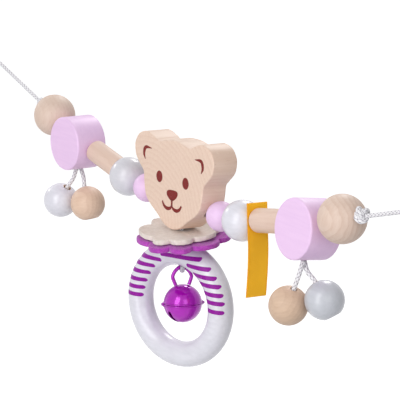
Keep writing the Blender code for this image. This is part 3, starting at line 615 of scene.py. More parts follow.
def tube_points(path, radius, count, closed=False):
    """Circles of so many points carried along a path without twisting.

    Each circle stands square to the path, and its start is turned from the one before it by the
    least rotation. radius may vary over the grid.
    """
    path = np.asarray(path, float)
    around = np.roll(path, -1, 0) - np.roll(path, 1, 0)
    ahead = around if closed else np.gradient(path, axis=0)
    ahead /= np.linalg.norm(ahead, axis=1)[:, None]
    side = np.zeros_like(path)
    now = np.cross(ahead[0], (0, 1, 0) if abs(ahead[0][1]) < 0.9 else (1, 0, 0))
    for k, way in enumerate(ahead):
        now = now - way * (now @ way)
        now /= np.linalg.norm(now)
        side[k] = now
    other = np.cross(ahead, side)
    angle = np.arange(count)[:, None] * math.tau / count
    rim = side[:, None, :] * np.cos(angle) + other[:, None, :] * np.sin(angle)
    return path[:, None, :] + rim * np.broadcast_to(radius, (len(path), count))[:, :, None]


def braided(name, path, diameter, body, material, *nodes, closed=False, cells=4):
    """Cord braided of two sets of strands that wind against each other and cross over and under.

    The strands' phases are the angle plus and minus the length. On each diamond the set on top
    shows a half-round strand, and the gaps between diamonds lie deeper.
    """
    step, count = diameter / 11, 40
    path = even_path(path, step)
    if closed:
        path = path[:-1]
    turn = np.arange(count)[None, :] / count * cells
    lay = np.arange(len(path))[:, None] * step / BRAID_LAY
    if closed:
        lay = lay * round(lay[-1, 0]) / max(lay[-1, 0], 1e-9)
    one, two = turn + lay, turn - lay
    over = (np.floor(one) + np.floor(two)) % 2 == 0
    strand, cross = np.where(over, one, two) % 1.0, np.where(over, two, one) % 1.0
    dip = 1 - BRAID_DIP + BRAID_DIP * half_round(cross)
    height = half_round(strand) * dip
    radius = diameter / 2 * (1 - BRAID_RELIEF + BRAID_RELIEF * height)
    grid = tube_points(path, radius, count, closed)
    mesh = mesh_of(name, grid, round_u=closed, round_v=True, cap_u=not closed)
    # the strands' height, which the braid's material turns into painted shade in the gaps
    values = height.ravel() if closed else np.append(height, (0.5, 0.5))
    mesh.attributes.new("strand", "FLOAT", "POINT").data.foreach_set("value", values.astype(np.float32))
    outwards(mesh, weld=False)
    return piece(name, mesh, body, material, *nodes, slot="white_cord")


def half_round(share):
    """Height of a half circle over its width: the root of one less the square of the way out."""
    return np.sqrt(np.clip(1 - (2 * share - 1) ** 2, 0, 1))


def knotted(name, place, axis, length, width, cord_d, body, material, *nodes):
    """Knot pulled tight: a trefoil of the same cord, wound twice about the cord's line.

    Its reach is a cosine of three times the angle and its rise a sine of it. The cord's
    straight part runs through its middle and fills it.
    """
    r = cord_d / 2
    out, swing, rise = width / 2 - r, KNOT_SWING * (width / 2 - r), length / 2 - r
    t = np.linspace(0, math.tau, 241)
    reach = out - swing + swing * np.cos(3 * t)
    local = np.stack((reach * np.cos(2 * t), reach * np.sin(2 * t), rise * np.sin(3 * t)), axis=1)
    path = local @ facing(axis).T + place
    core = place + np.asarray(axis) * np.linspace(-0.5, 0.5, 12)[:, None] * KNOT_CORE_L * length
    return [braided(name + "_core", core, width * KNOT_CORE, body, material, cells=9),
            braided(name, path, cord_d, body, material, *nodes, closed=True)]


# Camera

def look_through():
    """The photograph's camera: away from its aim, against its look, by its distance."""
    turn, rise = CAMERA_TURN, CAMERA_RISE
    look = Vector((-math.sin(turn) * math.cos(rise), math.cos(turn) * math.cos(rise), -math.sin(rise)))
    data = bpy.data.cameras.new("camera")
    data.lens, data.sensor_width = CAMERA_LENS, CAMERA_SENSOR
    camera = placed("camera", data)
    camera.location = Vector(MIDDLE + CAMERA_AIM) - look * CAMERA_DISTANCE
    camera.rotation_euler = look.to_track_quat("-Z", "Y").to_euler()
    bpy.context.scene.camera = camera


# Main cord, leads and loops

def loop_path(s):
    """Drop-shaped eye in the chain's plane, from the outer face of its knot and back.

    It is drawn by shares of its length and of half its width.
    """
    base, along = cord_at(s)
    along = along * math.copysign(1, s)
    up = np.array((-along[2], 0, along[0]))
    foot = (CORD_D + 2 * GAP) / LOOP_W
    half = [(0, foot), (0.16, foot + 0.12), (0.50, 0.88), (0.78, 0.90), (0.95, 0.50)]
    eye = half + [(1, 0)] + [(a, -w) for a, w in reversed(half)]
    start = base + along * (LOOP_KNOT[0] / 2 + GAP)
    return smooth_path([start + along * (a * LOOP_L) + up * (w * LOOP_W / 2) for a, w in eye], 12)


def make_cords(white):
    """The braided cord: through the beads, then free to a tied loop at each side."""
    ends = {}
    for side, way in SIDES:
        ball = length_to(PLACE[f"{side}_end_ball_spin"])
        rim = math.sqrt((END_BALL_D / 2) ** 2 - (BORE_D / 2) ** 2)
        seat = STOP_KNOT_L / 2 * math.sqrt(1 - (BORE_D / STOP_KNOT_D) ** 2) + GAP
        stop = ball + way * (rim + seat)
        lead = stop + way * (STOP_KNOT_L / 2 + GAP)
        knot = lead + way * (LEAD_L + GAP + LOOP_KNOT[0] / 2)
        ends[side] = stop - way * (STOP_KNOT_L / 2 + GAP)
        place, along = cord_at(stop)
        knotted(f"{side}_knot_outside_ball", place + (0, 0, KNOT_RISE[side]), along,
                *KNOT_SHOWN[side], "cord", white, f"{side}_stop_knot")
        tied = knotted(f"{side}_knot_of_loop", *cord_at(knot), *LOOP_KNOT, "cord", white,
                       f"{side}_loop_knot")
        eye = braided(f"{side}_hanging_loop", loop_path(knot), CORD_SHOWN_D, "cord", white,
                      f"{side}_loop")
        first, last = cord_at(lead)[0], cord_at(lead + way * LEAD_L)[0]
        path = first + (last - first) * np.linspace(0, 1, 29)[:, None]
        free = braided(f"{side}_free_cord", path, CORD_SHOWN_D, "cord", white, f"{side}_lead")
    stops = np.linspace(ends["left"], ends["right"], 80)
    braided("cord_through_beads", np.array([cord_at(s)[0] for s in stops]), CORD_D, "cord", white,
            "main_cord")


# Beads, dowels and discs

def turned(name, profile, place, turn, body, materials, slot, marks=None, bore=True, count=96):
    """Piece turned on a lathe: a profile spun about the frame's Z, and closed by its bore."""
    points = spin_points(profile, place, turn, count)
    return formed(name, points, body, materials, body, slot=slot, round_u=bore, marks=marks)


def make_beads(looks):
    """Bored balls on the cord, and dowels whose wide bores let them lie off its line."""
    for side, _ in SIDES:
        bare = looks[f"{side}_end_ball"]
        # the left white bead takes the darker copy of the pearl lacquer, which is painted shade
        skins = {"end_ball": bare, "white_bead": looks[f"{side}_pearl"], "pink_bead": looks["pink"]}
        for kind, (diameter, slot) in BEADS.items():
            joint = f"{side}_{kind}_spin"
            profile, marks = ball_profile(diameter, BORE_D)
            turned(f"{side}_turned_{kind}", profile, PLACE[joint], facing(AXIS[joint]),
                   f"{side}_{kind}", [skins[kind], bare], slot, marks)
        joint = f"{side}_dowel_spin"
        axis, (back, up) = AXIS[joint], DOWEL_OFF[side]
        place = PLACE[joint] + (-axis[2] * up, back, axis[0] * up)
        turned(f"{side}_turned_dowel", block_profile(DOWEL_D, DOWEL_L, 6, [DOWEL_BORE_D / 2]), place,
               facing(axis), f"{side}_dowel", looks[f"{side}_dowel"], "beech")


def well_frame(side):
    """Point on the cord above the disc's middle, and the disc's lean about the cord."""
    s = length_to(PLACE[f"{side}_disc_turn"])
    along = cord_at(s)[1]
    lean = turn_about(AXIS[f"{side}_disc_turn"], -DISC_TIP[side])
    return cord_at(s + DISC_DROP * along[2] / along[0])[0], lean


def make_discs(looks):
    """Discs hung below the cord, bored along it and welled from below for the tassels' fold."""
    for side, _ in SIDES:
        place, axis = PLACE[f"{side}_disc_turn"], AXIS[f"{side}_disc_turn"]
        base, tip = well_frame(side)
        centre = place + DISC_DROP * tip @ (axis[2], 0, -axis[0])
        profile = block_profile(DISC_D, DISC_T, 7, np.linspace(0, DISC_D / 2 - BLOCK_EDGE, 8))
        disc = turned(f"{side}_turned_disc", profile, centre, tip @ facing((0, -1, 0)),
                      f"{side}_disc", looks["pink"], "pink", bore=False, count=128)
        top = FOLD_R + SOFT_CORD_D / 2 + GAP
        bored(disc, (place - axis * DISC_D, place + axis * DISC_D, BORE_D),
              (base + tip @ (0, 0, -DISC_D), base + tip @ (0, 0, top), 2 * top))


# Tassels

def fold_path(feet, bottom):
    """Cord folded over the main cord: down in front of it to one foot and behind it to the other."""
    legs = []
    for side, (x, y) in zip((-FOLD_R, FOLD_R), feet):
        legs.append([(x, y, bottom), (x / 2, (y + side) / 2, bottom / 2), (0, side, 0),
                     (0, side * 0.71, FOLD_R * 0.71)])
    return smooth_path(legs[0] + [(0, 0, FOLD_R)] + legs[1][::-1], 8)


def ball_with_flat(bore):
    """Tassel ball: skin down to the flat round its knot, the counterbore and the bore."""
    r, bore, wide, flat = TASSEL_BALL_D / 2, bore / 2, TASSEL_SEAT_D / 2, TASSEL_FLAT
    top = math.acos((bore + RIM_EDGE) / r)
    return walled(arc(r, top, -math.asin(flat / r), 44),
                  [(wide, -flat), (wide, TASSEL_SEAT_L - flat), (bore, TASSEL_SEAT_L - flat),
                   (bore, r * math.sin(top) - RIM_EDGE)])


def make_tassels(looks):
    """On each disc: a folded cord, and on each leg a ball over a knot.

    A leg runs straight from its foot, bowed aside by the square of a sine down to its ball.
    """
    for side, _ in SIDES:
        base, tip = well_frame(side)
        fold = fold_path(TASSEL_FEET[side], -DISC_DROP - DISC_D / 2 + SOFT_CORD_D / 2)
        braided(f"{side}_fold_in_disc", fold @ tip.T + base, SOFT_CORD_D, f"{side}_disc",
                looks["white"], f"{side}_tassel_fold")
        for leg in (f"{side}_front", f"{side}_back"):
            name = f"{leg}_tassel"
            pivot, ball = PLACE[f"{name}_swing"], PLACE[f"{name}_ball_spin"]
            down = ball - pivot
            length = np.linalg.norm(down)
            down = down / length
            foot = length + TASSEL_FLAT - TASSEL_SEAT_L
            t = np.linspace(0, foot, 30)
            swell = np.sin(np.pi * np.clip(t / (length - TASSEL_BALL_D / 2), 0, 1)) ** 2
            bow = np.array((*TASSEL_BOW[leg], 0))
            path = pivot + down * t[:, None] + (bow - down * (bow @ down)) * swell[:, None]
            braided(f"{name}_strand", path, SOFT_CORD_D, name, looks["white"], f"{name}_cord")
            knotted(f"{name}_end_knot", pivot + down * (foot + GAP + TASSEL_KNOT[0] / 2), down,
                    *TASSEL_KNOT, name, looks["white"], f"{name}_knot")
            look = TASSEL_LOOKS[leg]
            profile, marks = ball_with_flat(TASSEL_BORE_D[leg])
            turned(f"{name}_turned_ball", profile, ball, facing(-down), f"{name}_ball",
                   [looks[look], looks[f"{side}_tassel"]],
                   "pearl_white" if "pearl" in look else "beech", marks)


# Bear head

def head_outline():
    """Front outline (across, up) from the cord: ears, cheeks and jaw, mirrored about its middle.

    Ears are drawn by shares of the ears' half width and the crown, cheeks of the cheeks'
    half width and the crown, and the jaw of that and the chin.
    """
    cheek = HEAD_W / 2
    ears = ((0, 1), (0.154, 0.992), (0.279, 0.964), (0.398, 0.939), (0.493, 0.983),
            (0.695, 1.041), (0.881, 0.992), (0.979, 0.876), (1, 0.771), (0.963, 0.623),
            (0.836, 0.490))
    cheeks = ((1.063, 0.408), (1.033, 0.262), (1, 0.138), (0.941, 0.033))
    jaw = ((0.801, -0.183), (0.539, -0.519), (0.303, -0.847), (0.148, -0.962), (0, -1))
    half = [(x * EAR_W / 2, z * CROWN) for x, z in ears]
    half += [(x * cheek, z * CROWN) for x, z in cheeks]
    half += [(x * cheek, z * CHIN) for x, z in jaw]
    spans = 10
    curve = smooth_path(mirrored(half[2:0:-1], -1) + half + mirrored(half[-2:-4:-1], -1), spans)
    curve = curve[2 * spans:-2 * spans]
    return np.vstack((curve, curve[-2:0:-1] * (-1, 1)))


def head_world(points):
    """From the head's own upright frame to where it hangs, rolled and tipped about its middle."""
    middle = np.array((0, 0, HEAD_MIDDLE))
    lay = turn_about((1, 0, 0), -HEAD_TIP) @ turn_about((0, 1, 0), -HEAD_ROLL)
    return (points - middle) @ lay.T + middle + MIDDLE + (0, HEAD_BACK, 0)


def plate_points(outline, front, back, edge, centre):
    """Flat plate: rows run from the front's centre out to the outline, round its edge and back.

    Near the edge each row is the outline moved inwards along its normal, by a quarter circle.
    """
    ahead = np.roll(outline, -1, 0) - np.roll(outline, 1, 0)
    ahead /= np.linalg.norm(ahead, axis=1)[:, None]
    inward = np.stack((ahead[:, 1], -ahead[:, 0]), axis=1)
    if ((centre - outline) * inward).sum() < 0:
        inward = -inward
    bend, shares = np.linspace(0, math.pi / 2, 6), (0, 0.3, 0.6, 0.85)
    spokes = [centre + share * (outline + inward * edge - centre) for share in shares]
    rims = [(outline + inward * edge * (1 - math.sin(a)), edge * (1 - math.cos(a))) for a in bend]
    rows = [(row, front) for row in spokes] + [(row, front + deep) for row, deep in rims]
    rows += [(row, back - deep) for row, deep in rims[::-1]] + [(row, back) for row in spokes[::-1]]
    return np.stack([np.stack((p[:, 0], np.full(len(p), y), p[:, 1]), axis=1) for p, y in rows])


def printed(name, outline, material):
    """One printed shape on the head's front, filled from its middle."""
    grid = plate_points(outline, PRINT_FRONT, PRINT_BACK, PRINT_LIFT / 2, outline.mean(0))
    formed(name, head_world(grid), "bear_head", material, sharp=60)


def brushed(name, points, widths, material):
    """One printed line on the head's front: a band along a smooth path, of changing width."""
    path = smooth_path(points, 10)
    width = np.interp(np.linspace(0, 1, len(path)), np.linspace(0, 1, len(widths)), widths) / 2
    ahead = np.gradient(path, axis=0)
    ahead /= np.linalg.norm(ahead, axis=1)[:, None]
    aside = np.stack((-ahead[:, 1], ahead[:, 0]), axis=1) * width[:, None]
    shares = (-1, 0, 1, 1, -1)
    depths = (PRINT_FRONT, PRINT_FRONT, PRINT_FRONT, PRINT_BACK, PRINT_BACK)
    grid = np.stack([np.insert(path + share * aside, 1, y, axis=1)
                     for share, y in zip(shares, depths)], axis=1)
    formed(name, head_world(grid), "bear_head", material, sharp=60, cap_u=True)


def make_head(looks):
    """The sawn head, bored along the cord and welled from below for its hanger, and its face."""
    grid = plate_points(head_outline(), -HEAD_T / 2, HEAD_T / 2, HEAD_ROUND,
                        np.array((0, HEAD_HEART)))
    head = formed("sawn_bear_head", head_world(grid), "bear_head", looks["head"], "bear_head",
                  slot="beech")
    sag = (cord_at(HEAD_W / 2)[0][2] - MIDDLE[2]) / 2
    well = FOLD_R + SOFT_CORD_D / 2 + GAP
    bored(head, (MIDDLE + (-EAR_W, 0, sag), MIDDLE + (EAR_W, 0, sag), HEAD_BORE_D),
          (MIDDLE + (0, 0, -2 * CHIN), MIDDLE + (0, 0, well), HANGER_WELL_D))
    ring = arc(1, 0, math.tau, 49)[:-1]
    for side, way in SIDES:
        printed(f"{side}_eye", mirrored([EYE_PLACE], way) + EYE_HALF * ring, looks["ink"])
        brushed(f"{side}_ear_line", mirrored(EAR_LINE, way), EAR_WIDTHS, looks["ink"])
        brushed(f"{side}_mouth_line", mirrored(MOUTH_LINE, way), MOUTH_WIDTHS, looks["ink"])
    printed("nose", smooth_path(NOSE[-2:] + NOSE + NOSE[:3], 8)[16:-17], looks["ink"])
    brushed("nose_line", NOSE_LINE, NOSE_WIDTHS, looks["ink"])


# Felt, ring and hanger

def make_flower(name, diameter, notches, lifts, aside, material):
    """Round of felt: cut to petals, its edge rounded, its petals lifted each by its own height.

    A petal's reach follows a power of a sine from notch to notch, its lift a cosine from one
    petal's middle to the next, and the lift grows with the square of the way out. Its faces
    are uneven by crossed sines.
    """
    count, half = 512, FELT_T / 2
    angle = np.arange(count) * math.tau / count + math.radians(notches[0])
    starts = np.radians(np.append(notches, notches[0] + 360))
    share = np.interp(angle, starts, np.arange(len(starts))) % 1
    reach = diameter / 2 - SCALLOP_DEPTH * (1 - np.sin(np.pi * share) ** PETAL_POWER)
    reach = reach + aside[0] * np.cos(angle) + aside[1] * np.sin(angle)
    middles = (starts[:-1] + starts[1:]) / 2
    middles = np.concatenate(([middles[-1] - math.tau], middles, [middles[0] + math.tau]))
    heights = np.pad(lifts, 1, mode="wrap")
    here = np.interp(angle, middles, np.arange(len(middles)))
    low, blend = here.astype(int), (1 - np.cos(np.pi * (here % 1))) / 2
    lift = heights[low] * (1 - blend) + heights[low + 1] * blend
    upper = [(FELT_BORE + share * (reach - FELT_ROUND - FELT_BORE), half)
             for share in (0, 0.12, 0.3, 0.5, 0.7, 0.86, 0.95)]
    upper += [(reach - FELT_ROUND * (1 - math.sin(a)), half - FELT_ROUND * (1 - math.cos(a)))
              for a in np.linspace(0, math.pi / 2, 5)]
    grid = []
    for radius, height in upper + [(radius, -height) for radius, height in reversed(upper)]:
        x, y = radius * np.cos(angle), radius * np.sin(angle)
        rise = (np.clip(radius - FELT_LEVEL_R, 0, None) / FELT_LIFT_R) ** 2 * lift
        lump = np.sin(900 * x + 3) * np.sin(1100 * y) + np.sin(2300 * y + 700 * x)
        grid.append(np.stack((x, y, height + rise + FELT_LUMP * lump), axis=1))
    lay = turn_about((-math.sin(FLOWER_RISE), math.cos(FLOWER_RISE), 0), -FLOWER_TILT)
    points = np.stack(grid) @ lay.T + PLACE[f"{name}_felt_flower_turn"]
    flower = formed(f"{name}_flower", points, f"{name}_felt_flower", material,
                    f"{name}_felt_flower", slot=f"{name}_felt", sharp=60, round_u=True)


def ring_world(points):
    """From the ring's own frame, with its axis along Y, to where it hangs."""
    lay = turn_about((0, 0, 1), RING_TURN) @ turn_about((1, 0, 0), -RING_TIP)
    return (points + (0, 0, RING_TUBE_D - RING_D / 2)) @ lay.T + PLACE["wooden_ring_turn"]


def make_ring(looks):
    """Wooden ring: a circle turned round a circle, bored and counterbored for its cord and knot."""
    r = RING_TUBE_D / 2
    u, v = np.arange(160)[:, None] * math.tau / 160, np.arange(64)[None, :] * math.tau / 64
    reach = RING_R + r * np.cos(v)
    grid = np.stack((reach * np.cos(u), -r * np.sin(v) + 0 * u, reach * np.sin(u)), axis=-1)
    ring = formed("turned_ring", ring_world(grid), "wooden_ring", looks["pearl"], "wooden_ring",
                  slot="pearl_white", round_u=True)
    inside, up = PLACE["wooden_ring_turn"], np.array((0, 0, 1))
    bored(ring, (inside - up * r, inside + up * 2 * RING_TUBE_D, RING_BORE_D),
          (inside - up * r, inside + up * RING_SEAT_L, RING_SEAT_D))
    for number, (start, end, height) in enumerate(STRIPES, 1):
        slope = TOP_SLOPE if number == len(STRIPES) else 0.0
        paint_stripe(f"stripe_{number:02d}", start, end, height, slope, looks["stripe"])


def paint_stripe(name, start, end, height, slope, material):
    """Painted bar with round ends that follows the ring's front.

    A point of the bar, seen from the front, lies on the tube where the circle through it meets
    the tube's skin, and is lifted off by the paint's thickness.
    """
    half, r = STRIPE_W / 2, RING_TUBE_D / 2
    ends = np.linspace(0, math.pi / 2, 9)
    x = np.concatenate((start + half * (1 - np.cos(ends)),
                        np.linspace(start + half, end - half, 26)[1:-1],
                        end - half * (1 - np.cos(ends[::-1]))))
    wide = np.concatenate((np.sin(ends), np.ones(24), np.sin(ends[::-1]))) * half
    across = np.linspace(-1, 1, 9)
    z = height + slope * (x - (start + end) / 2)[:, None] + wide[:, None] * across
    x = np.repeat(x[:, None], len(across), axis=1)
    rho = np.hypot(x, z)
    cosine = np.clip((rho - RING_R) / r, -0.999, 0.999)
    normal = np.stack((cosine * x / rho, -np.sqrt(1 - cosine ** 2), cosine * z / rho), axis=-1)
    core = np.stack((x / rho * RING_R, 0 * x, z / rho * RING_R), axis=-1)
    top, low = core + normal * (r + STRIPE_LIFT), core + normal * (r - STRIPE_DEPTH)
    grid = np.concatenate((top, low[:, ::-1]), axis=1)
    formed(name, ring_world(grid), "wooden_ring", material, sharp=60, cap_u=True)


def make_hanger(white):
    """The cord that carries the felt and the ring, knotted in the head and in the ring."""
    pivot, ring = PLACE["hanger_swing"], PLACE["wooden_ring_turn"]
    up = np.array((0, 0, 1))
    knot = SOFT_CORD_D / 2 + GAP + HANGER_KNOT[0] / 2
    foot = pivot[2] - MIDDLE[2] + knot + HANGER_KNOT[0] / 2 + GAP
    fold = fold_path(((0, -FOLD_R), (0, FOLD_R)), foot) + MIDDLE
    braided("fold_in_head", fold, SOFT_CORD_D, "bear_head", white, "head_hanger_fold")
    knotted("knot_in_head", pivot + up * knot, up, *HANGER_KNOT, "bear_head", white,
            "head_hanger_knot")
    low = ring[2] + RING_SEAT_L - GAP - RING_KNOT[0] / 2 - pivot[2]
    end = up * (low + RING_KNOT[0] / 2 + GAP)
    braided("cord_through_felt", pivot + end * np.linspace(0, 1, 20)[:, None], SOFT_CORD_D,
            "hanger", white, "ring_hanger_cord")
    knotted("knot_in_ring", pivot + up * low, up, *RING_KNOT, "hanger", white, "ring_stop_knot")


# Bell

def bell_world(points, tipped=True):
    """From the bell's upright frame about its pivot, its points along X, to where it hangs."""
    lay = turn_about((0, 0, 1), BELL_TURN)
    if tipped:
        lay = lay @ turn_about((1, 0, 0), -BELL_TIP)
    return points @ lay.T + PLACE["bell_swing"]


def make_bell(looks):
    """Bell of two cups, its wire loop, the cord that it hangs on and the pellet inside it."""
    wire_top = (SOFT_CORD_D + WIRE_D) / 2 + GAP
    foot = math.sqrt((BELL_D / 2) ** 2 - (WIRE_FOOT - WIRE_D / 2) ** 2) + GAP
    centre = np.array((0, 0, wire_top - WIRE_H - foot))
    make_cups(centre, looks["bell"])
    shape = mirrored_arch([(-WIRE_FOOT, -1.0), (-0.485 * WIRE_W, -0.66), (-0.50 * WIRE_W, -0.50),
                           (-0.38 * WIRE_W, -0.26), (-0.16 * WIRE_W, -0.055)])
    path = smooth_path([(x, 0, wire_top + z * WIRE_H) for x, z in shape], 8)
    formed("bell_wire", tube_points(bell_world(path), WIRE_SHOWN_D / 2, 24), "bell",
           looks["bell"], "bell_wire_loop", slot="purple_metal", sharp=60, cap_u=True)
    leg = WIRE_D / 2 + GAP + SOFT_CORD_D / 2
    top = PLACE["bell_loop_twist"][2] - PLACE["bell_swing"][2]
    shape = mirrored_arch([(-leg, top), (-leg, top / 2), (-0.7 * leg, top * 0.12)])
    loop = smooth_path([(0, y, z) for y, z in shape], 10)
    braided("bell_cord", bell_world(loop, False), SOFT_CORD_D, "bell_loop", looks["grey_cord"],
            "bell_hanger_loop")
    down = np.array((0, 0, -(BELL_D / 2 - BELL_WALL - GAP - PELLET_D / 2)))
    profile = arc(PELLET_D / 2, math.pi / 2, -math.pi / 2, 25)
    profile[:, 0] = np.clip(profile[:, 0], 0, None)
    turned("steel_pellet", profile, bell_world(centre) + down, np.eye(3), "bell_pellet",
           looks["steel"], "steel", bore=False, count=48)


def mirrored_arch(half):
    """An arch through its middle at (0, 0), from its left half."""
    return half + [(0, 0)] + mirrored(half[::-1], -1)


def make_cups(centre, metal):
    """Two pressed cups with rolled lips at their seam, and a cone drawn out of it at each side.

    A cup is half a sphere with a wall. A cone pushes its skin outwards, most at the point on X
    and less by the share of the way that a place lies from it.
    """
    outer, inner, r = BELL_SHOWN_D / 2, BELL_SHOWN_D / 2 - BELL_WALL, BELL_BEAD_D / 2
    lip = arc(r, -math.pi / 2, math.pi / 2, 9, outer - BELL_LIP_IN, BELL_SEAM + r)
    skin = arc(outer, math.asin((BELL_SEAM + 2 * r + BELL_LIP_GAP) / outer), math.pi / 2, 54)
    cup = arc(inner, math.pi / 2, math.asin(BELL_SEAM / inner), 30)
    profile = np.vstack((lip, skin, cup))
    profile[:, 0] = np.clip(profile[:, 0], 0, None)
    count = 216
    angle = np.arange(count) * math.tau / count
    along = (np.abs((angle + math.pi / 2) % math.pi - math.pi / 2) * outer)[None, :]
    height = np.concatenate((lip[:, 1], skin[:, 1], np.full(len(cup), BELL_D)))[:, None]
    cone = BELL_POINT * np.clip(1 - np.hypot(along, height) / BELL_POINT_R, 0, 1)
    for word, way in (("upper", 1), ("lower", -1)):
        grid = spin_points(profile, np.zeros(3), np.eye(3), count)
        grid[..., :2] *= (1 + cone / outer)[..., None]
        made = formed(f"bell_{word}_cup", bell_world(grid * (1, way, way) + centre), "bell", metal,
                      f"bell_{word}_shell", slot="purple_metal", round_u=True)
        if word == "lower":
            carved(made, [slot_cutter(centre)])


def slot_cutter(centre):
    """Long box across the bell's foot, its upper ends round."""
    r = SLOT_W / 2
    arcs = arc(r, 0, math.pi, 13, 0, -SLOT_TOP - r)
    section = np.vstack(([(r, -2 * BELL_D)], arcs, [(-r, -2 * BELL_D)]))
    grid = np.stack([np.insert(section, 0, x, axis=1) for x in (-BELL_D, BELL_D)])
    grid = grid @ turn_about((0, 0, 1), SLOT_TURN).T + centre
    mesh = mesh_of("slot", bell_world(grid), round_v=True, cap_u=True)
    return placed("slot", tidy(mesh))


# Ribbon

def make_tag(looks):
    """Ribbon folded in half over its top and pierced by the cord; it bends back to hang.

    Below the cord it leans by the slope, less an exponential that keeps its first stretch flat,
    and its edges curl by a sine down its length.
    """
    place, axis = PLACE["ribbon_tag_turn"], AXIS["ribbon_tag_turn"]
    slope = math.atan2(axis[2], axis[0])
    outer = (TAG_T - TAG_LAYER) / 2
    turn_at = TAG_ABOVE - TAG_T / 2
    layer = np.linspace((-outer, TAG_ABOVE - TAG_L), (-outer, turn_at), 60)
    fold = arc(outer, math.pi, 0, 13, 0, turn_at)[1:-1]
    x, z = np.vstack((layer, fold, layer[::-1] * (-1, 1))).T
    gone = np.concatenate(([0], np.cumsum(np.hypot(np.diff(x), np.diff(z)))))
    across = np.linspace(-TAG_W / 2, TAG_W / 2, 19)
    below = np.clip(-z - TAG_FLAT, 0, None)
    x = x - math.tan(slope) * (below - TAG_BEND * (1 - np.exp(-below / TAG_BEND)))
    curl = TAG_CURL * np.outer(np.sin(np.clip(below / TAG_L, 0, 1) * 5), (across / TAG_W * 2) ** 2)
    grid = np.stack((x[:, None] + curl, across[None, :] + TAG_ASIDE + 0 * x[:, None],
                     z[:, None] + 0 * across), axis=-1)
    roll = math.atan2(TAG_ASIDE, TAG_L / 2 - TAG_ABOVE)
    lay = turn_about((0, 1, 0), -slope) @ turn_about((1, 0, 0), -roll)
    mesh = mesh_of("ribbon", grid @ lay.T + place)
    uv = np.stack(np.broadcast_arrays(across[None, :], gone[:, None]), axis=-1).reshape(-1, 2)
    corners = np.zeros(len(mesh.loops), np.int32)
    mesh.loops.foreach_get("vertex_index", corners)
    cloth = mesh.uv_layers.new(name="cloth")
    cloth.data.foreach_set("uv", uv[corners].astype(np.float32).ravel())
    mesh.shade_smooth()
    ribbon = piece("folded_ribbon", mesh, "ribbon_tag", looks["ribbon"], "ribbon_tag",
                   slot="yellow_ribbon")
    thick = ribbon.modifiers.new("thickness", "SOLIDIFY")
    thick.thickness, thick.offset = TAG_LAYER, 0
    reach = axis * 2 * TAG_HOLE_D
    bored(ribbon, (place - reach, place + reach, TAG_HOLE_D))


# Studio

def seen_level(tree, dim, bright):
    """Level of a white ground: bright to the camera and in gloss or glass, dim as a light."""
    path = add(tree, "LightPath").node.outputs
    shown = add(tree, "Math", {0: path["Is Camera Ray"], 1: path["Is Glossy Ray"]},
                operation="MAXIMUM")
    shown = add(tree, "Math", {0: shown, 1: path["Is Transmission Ray"]}, operation="MAXIMUM")
    return add(tree, "MapRange", {"Value": shown, 3: dim, 4: bright})


def make_studio():
    """Pale floor, white surroundings, a tall soft window before the chain and small lamps behind."""
    x, y = np.meshgrid((-FLOOR_HALF, 0, FLOOR_HALF), (-FLOOR_HALF, 0, FLOOR_HALF), indexing="ij")
    mesh = mesh_of("floor", np.stack((x + MIDDLE[0], y, 0 * x + MIDDLE[2] - FLOOR_DROP), axis=-1))
    floor = placed("floor", mesh)
    material, tree, shader = blank("white_paper", 0.9, Base_Color="#C4C4C6",
                                   Emission_Color="#FFFFFF")
    fill(tree, shader, {"Emission Strength": seen_level(tree, 0.0, FLOOR_GLOW)})
    mesh.materials.append(material)
    world = bpy.data.worlds.new("studio")
    bpy.context.scene.world = world
    world.use_nodes = True
    tree = world.node_tree
    fill(tree, tree.nodes["Background"],
         {"Color": "#FFFFFF", "Strength": seen_level(tree, ROOM_LIGHT, 1.0)})
    for name, (place, size, power) in LAMPS.items():
        lamp = bpy.data.lights.new(name, "AREA")
        lamp.shape, lamp.size, lamp.size_y, lamp.energy = "RECTANGLE", *size, power
        light = placed(name, lamp)
        light.location = Vector(MIDDLE) + Vector(place)
        light.rotation_euler = (-Vector(place)).to_track_quat("-Z", "Y").to_euler()
    bpy.context.scene.view_settings.view_transform = "Standard"


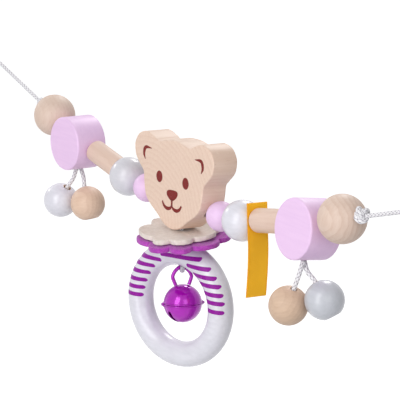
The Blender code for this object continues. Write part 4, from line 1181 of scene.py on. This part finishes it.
def make_looks():
    """Every finish of the chain, each wooden piece with its own grain about a pith of its own."""
    looks = {
        "pearl": lacquer("pearl_lacquer", "#E5E4ED", "#DDDCE5", 0.34, 0.35),
        # the left white bead's lacquer: the same pearl paint made darker, as painted shade
        "left_pearl": lacquer("pearl_lacquer_of_left_bead", "#D9D8DF", "#D1D0D8", 0.34, 0.35),
        # the same pearl paint made darker and greyer for the right back tassel ball, as painted shade
        "cool_pearl": lacquer("cool_pearl_lacquer", "#C8CAD2", "#C1C4CB", 0.34, 0.35),
        "pink": lacquer("lilac_lacquer", "#F3D1F5", "#EFCCF2", 0.50, 0.04),
        "ink": ink("printed_ink", "#7E2826"),
        "stripe": ink("varnished_stripe", "#94169C", 0.36, 0.18),
        "natural_felt": felt("natural_wool_felt", "#FAF0E8", "#E8DBD0"),
        "purple_felt": felt("purple_wool_felt", "#CA52CC", "#A42CAA"),
        "bell": bell_coat("lacquered_bell", "#AC10B4"),
        # white and grey cords: their dark colour in the gaps between strands is painted shade
        "white": braid("white_braid", "#F4F3F6", "#948E9A"),
        "grey_cord": braid("grey_braid", "#CFCCD4", "#A5A1AC"),
        "ribbon": twill("ribbon_twill", "#FFC636", "#FFB024"),
    }
    looks["right_pearl"] = looks["pearl"]
    looks["steel"] = blank("polished_steel", 0.22, Metallic=1.0, Base_Color="#C8C8CC")[0]
    grain = turn_about((1, 0, 0), -HEAD_TIP) @ np.array((0, 1, 0))
    looks["head"] = beech("beech_of_head", head_world(np.array(HEAD_PITH)), grain, "#EED4C2",
                          "#D6B099")
    ball_figure = {"left": 0.12, "right": 0.32}
    natural = {"left": ("back", "#EBCDB6", "#CBA285"), "right": ("front", "#DABDA4", "#B9967C")}
    for side, way in SIDES:
        pith = PLACE[f"{side}_end_ball_spin"] + (0.004, 0.012, 0)
        looks[f"{side}_end_ball"] = beech(f"beech_of_{side}_end_ball", pith, (0.25, 0.1, 1),
                                          "#E3CCBD", "#CAA893", 0.0024, ball_figure[side])
        pith = PLACE[f"{side}_dowel_spin"] + (0, 0.012, 0.006)
        looks[f"{side}_dowel"] = beech(f"beech_of_{side}_dowel", pith,
                                       AXIS[f"{side}_dowel_spin"], figure=0.12)
        leg, *tones = natural[side]
        pith = PLACE[f"{side}_{leg}_tassel_ball_spin"] + (0.009 * way, 0.011, -0.004)
        looks[f"{side}_tassel"] = beech(f"beech_of_{side}_tassel_ball", pith, (1, 0.5, 0.3),
                                        *tones, 0.0020, 0.16)
    return looks


look_through()
looks = make_looks()
make_cords(looks["white"])
make_beads(looks)
make_discs(looks)
make_tassels(looks)
make_head(looks)
make_hanger(looks["white"])
make_flower("natural", NATURAL_D, NATURAL_NOTCHES, NATURAL_LIFTS, NATURAL_ASIDE,
            looks["natural_felt"])
make_flower("purple", PURPLE_D, PURPLE_NOTCHES, PURPLE_LIFTS, PURPLE_ASIDE, looks["purple_felt"])
make_ring(looks)
make_bell(looks)
make_tag(looks)
make_studio()
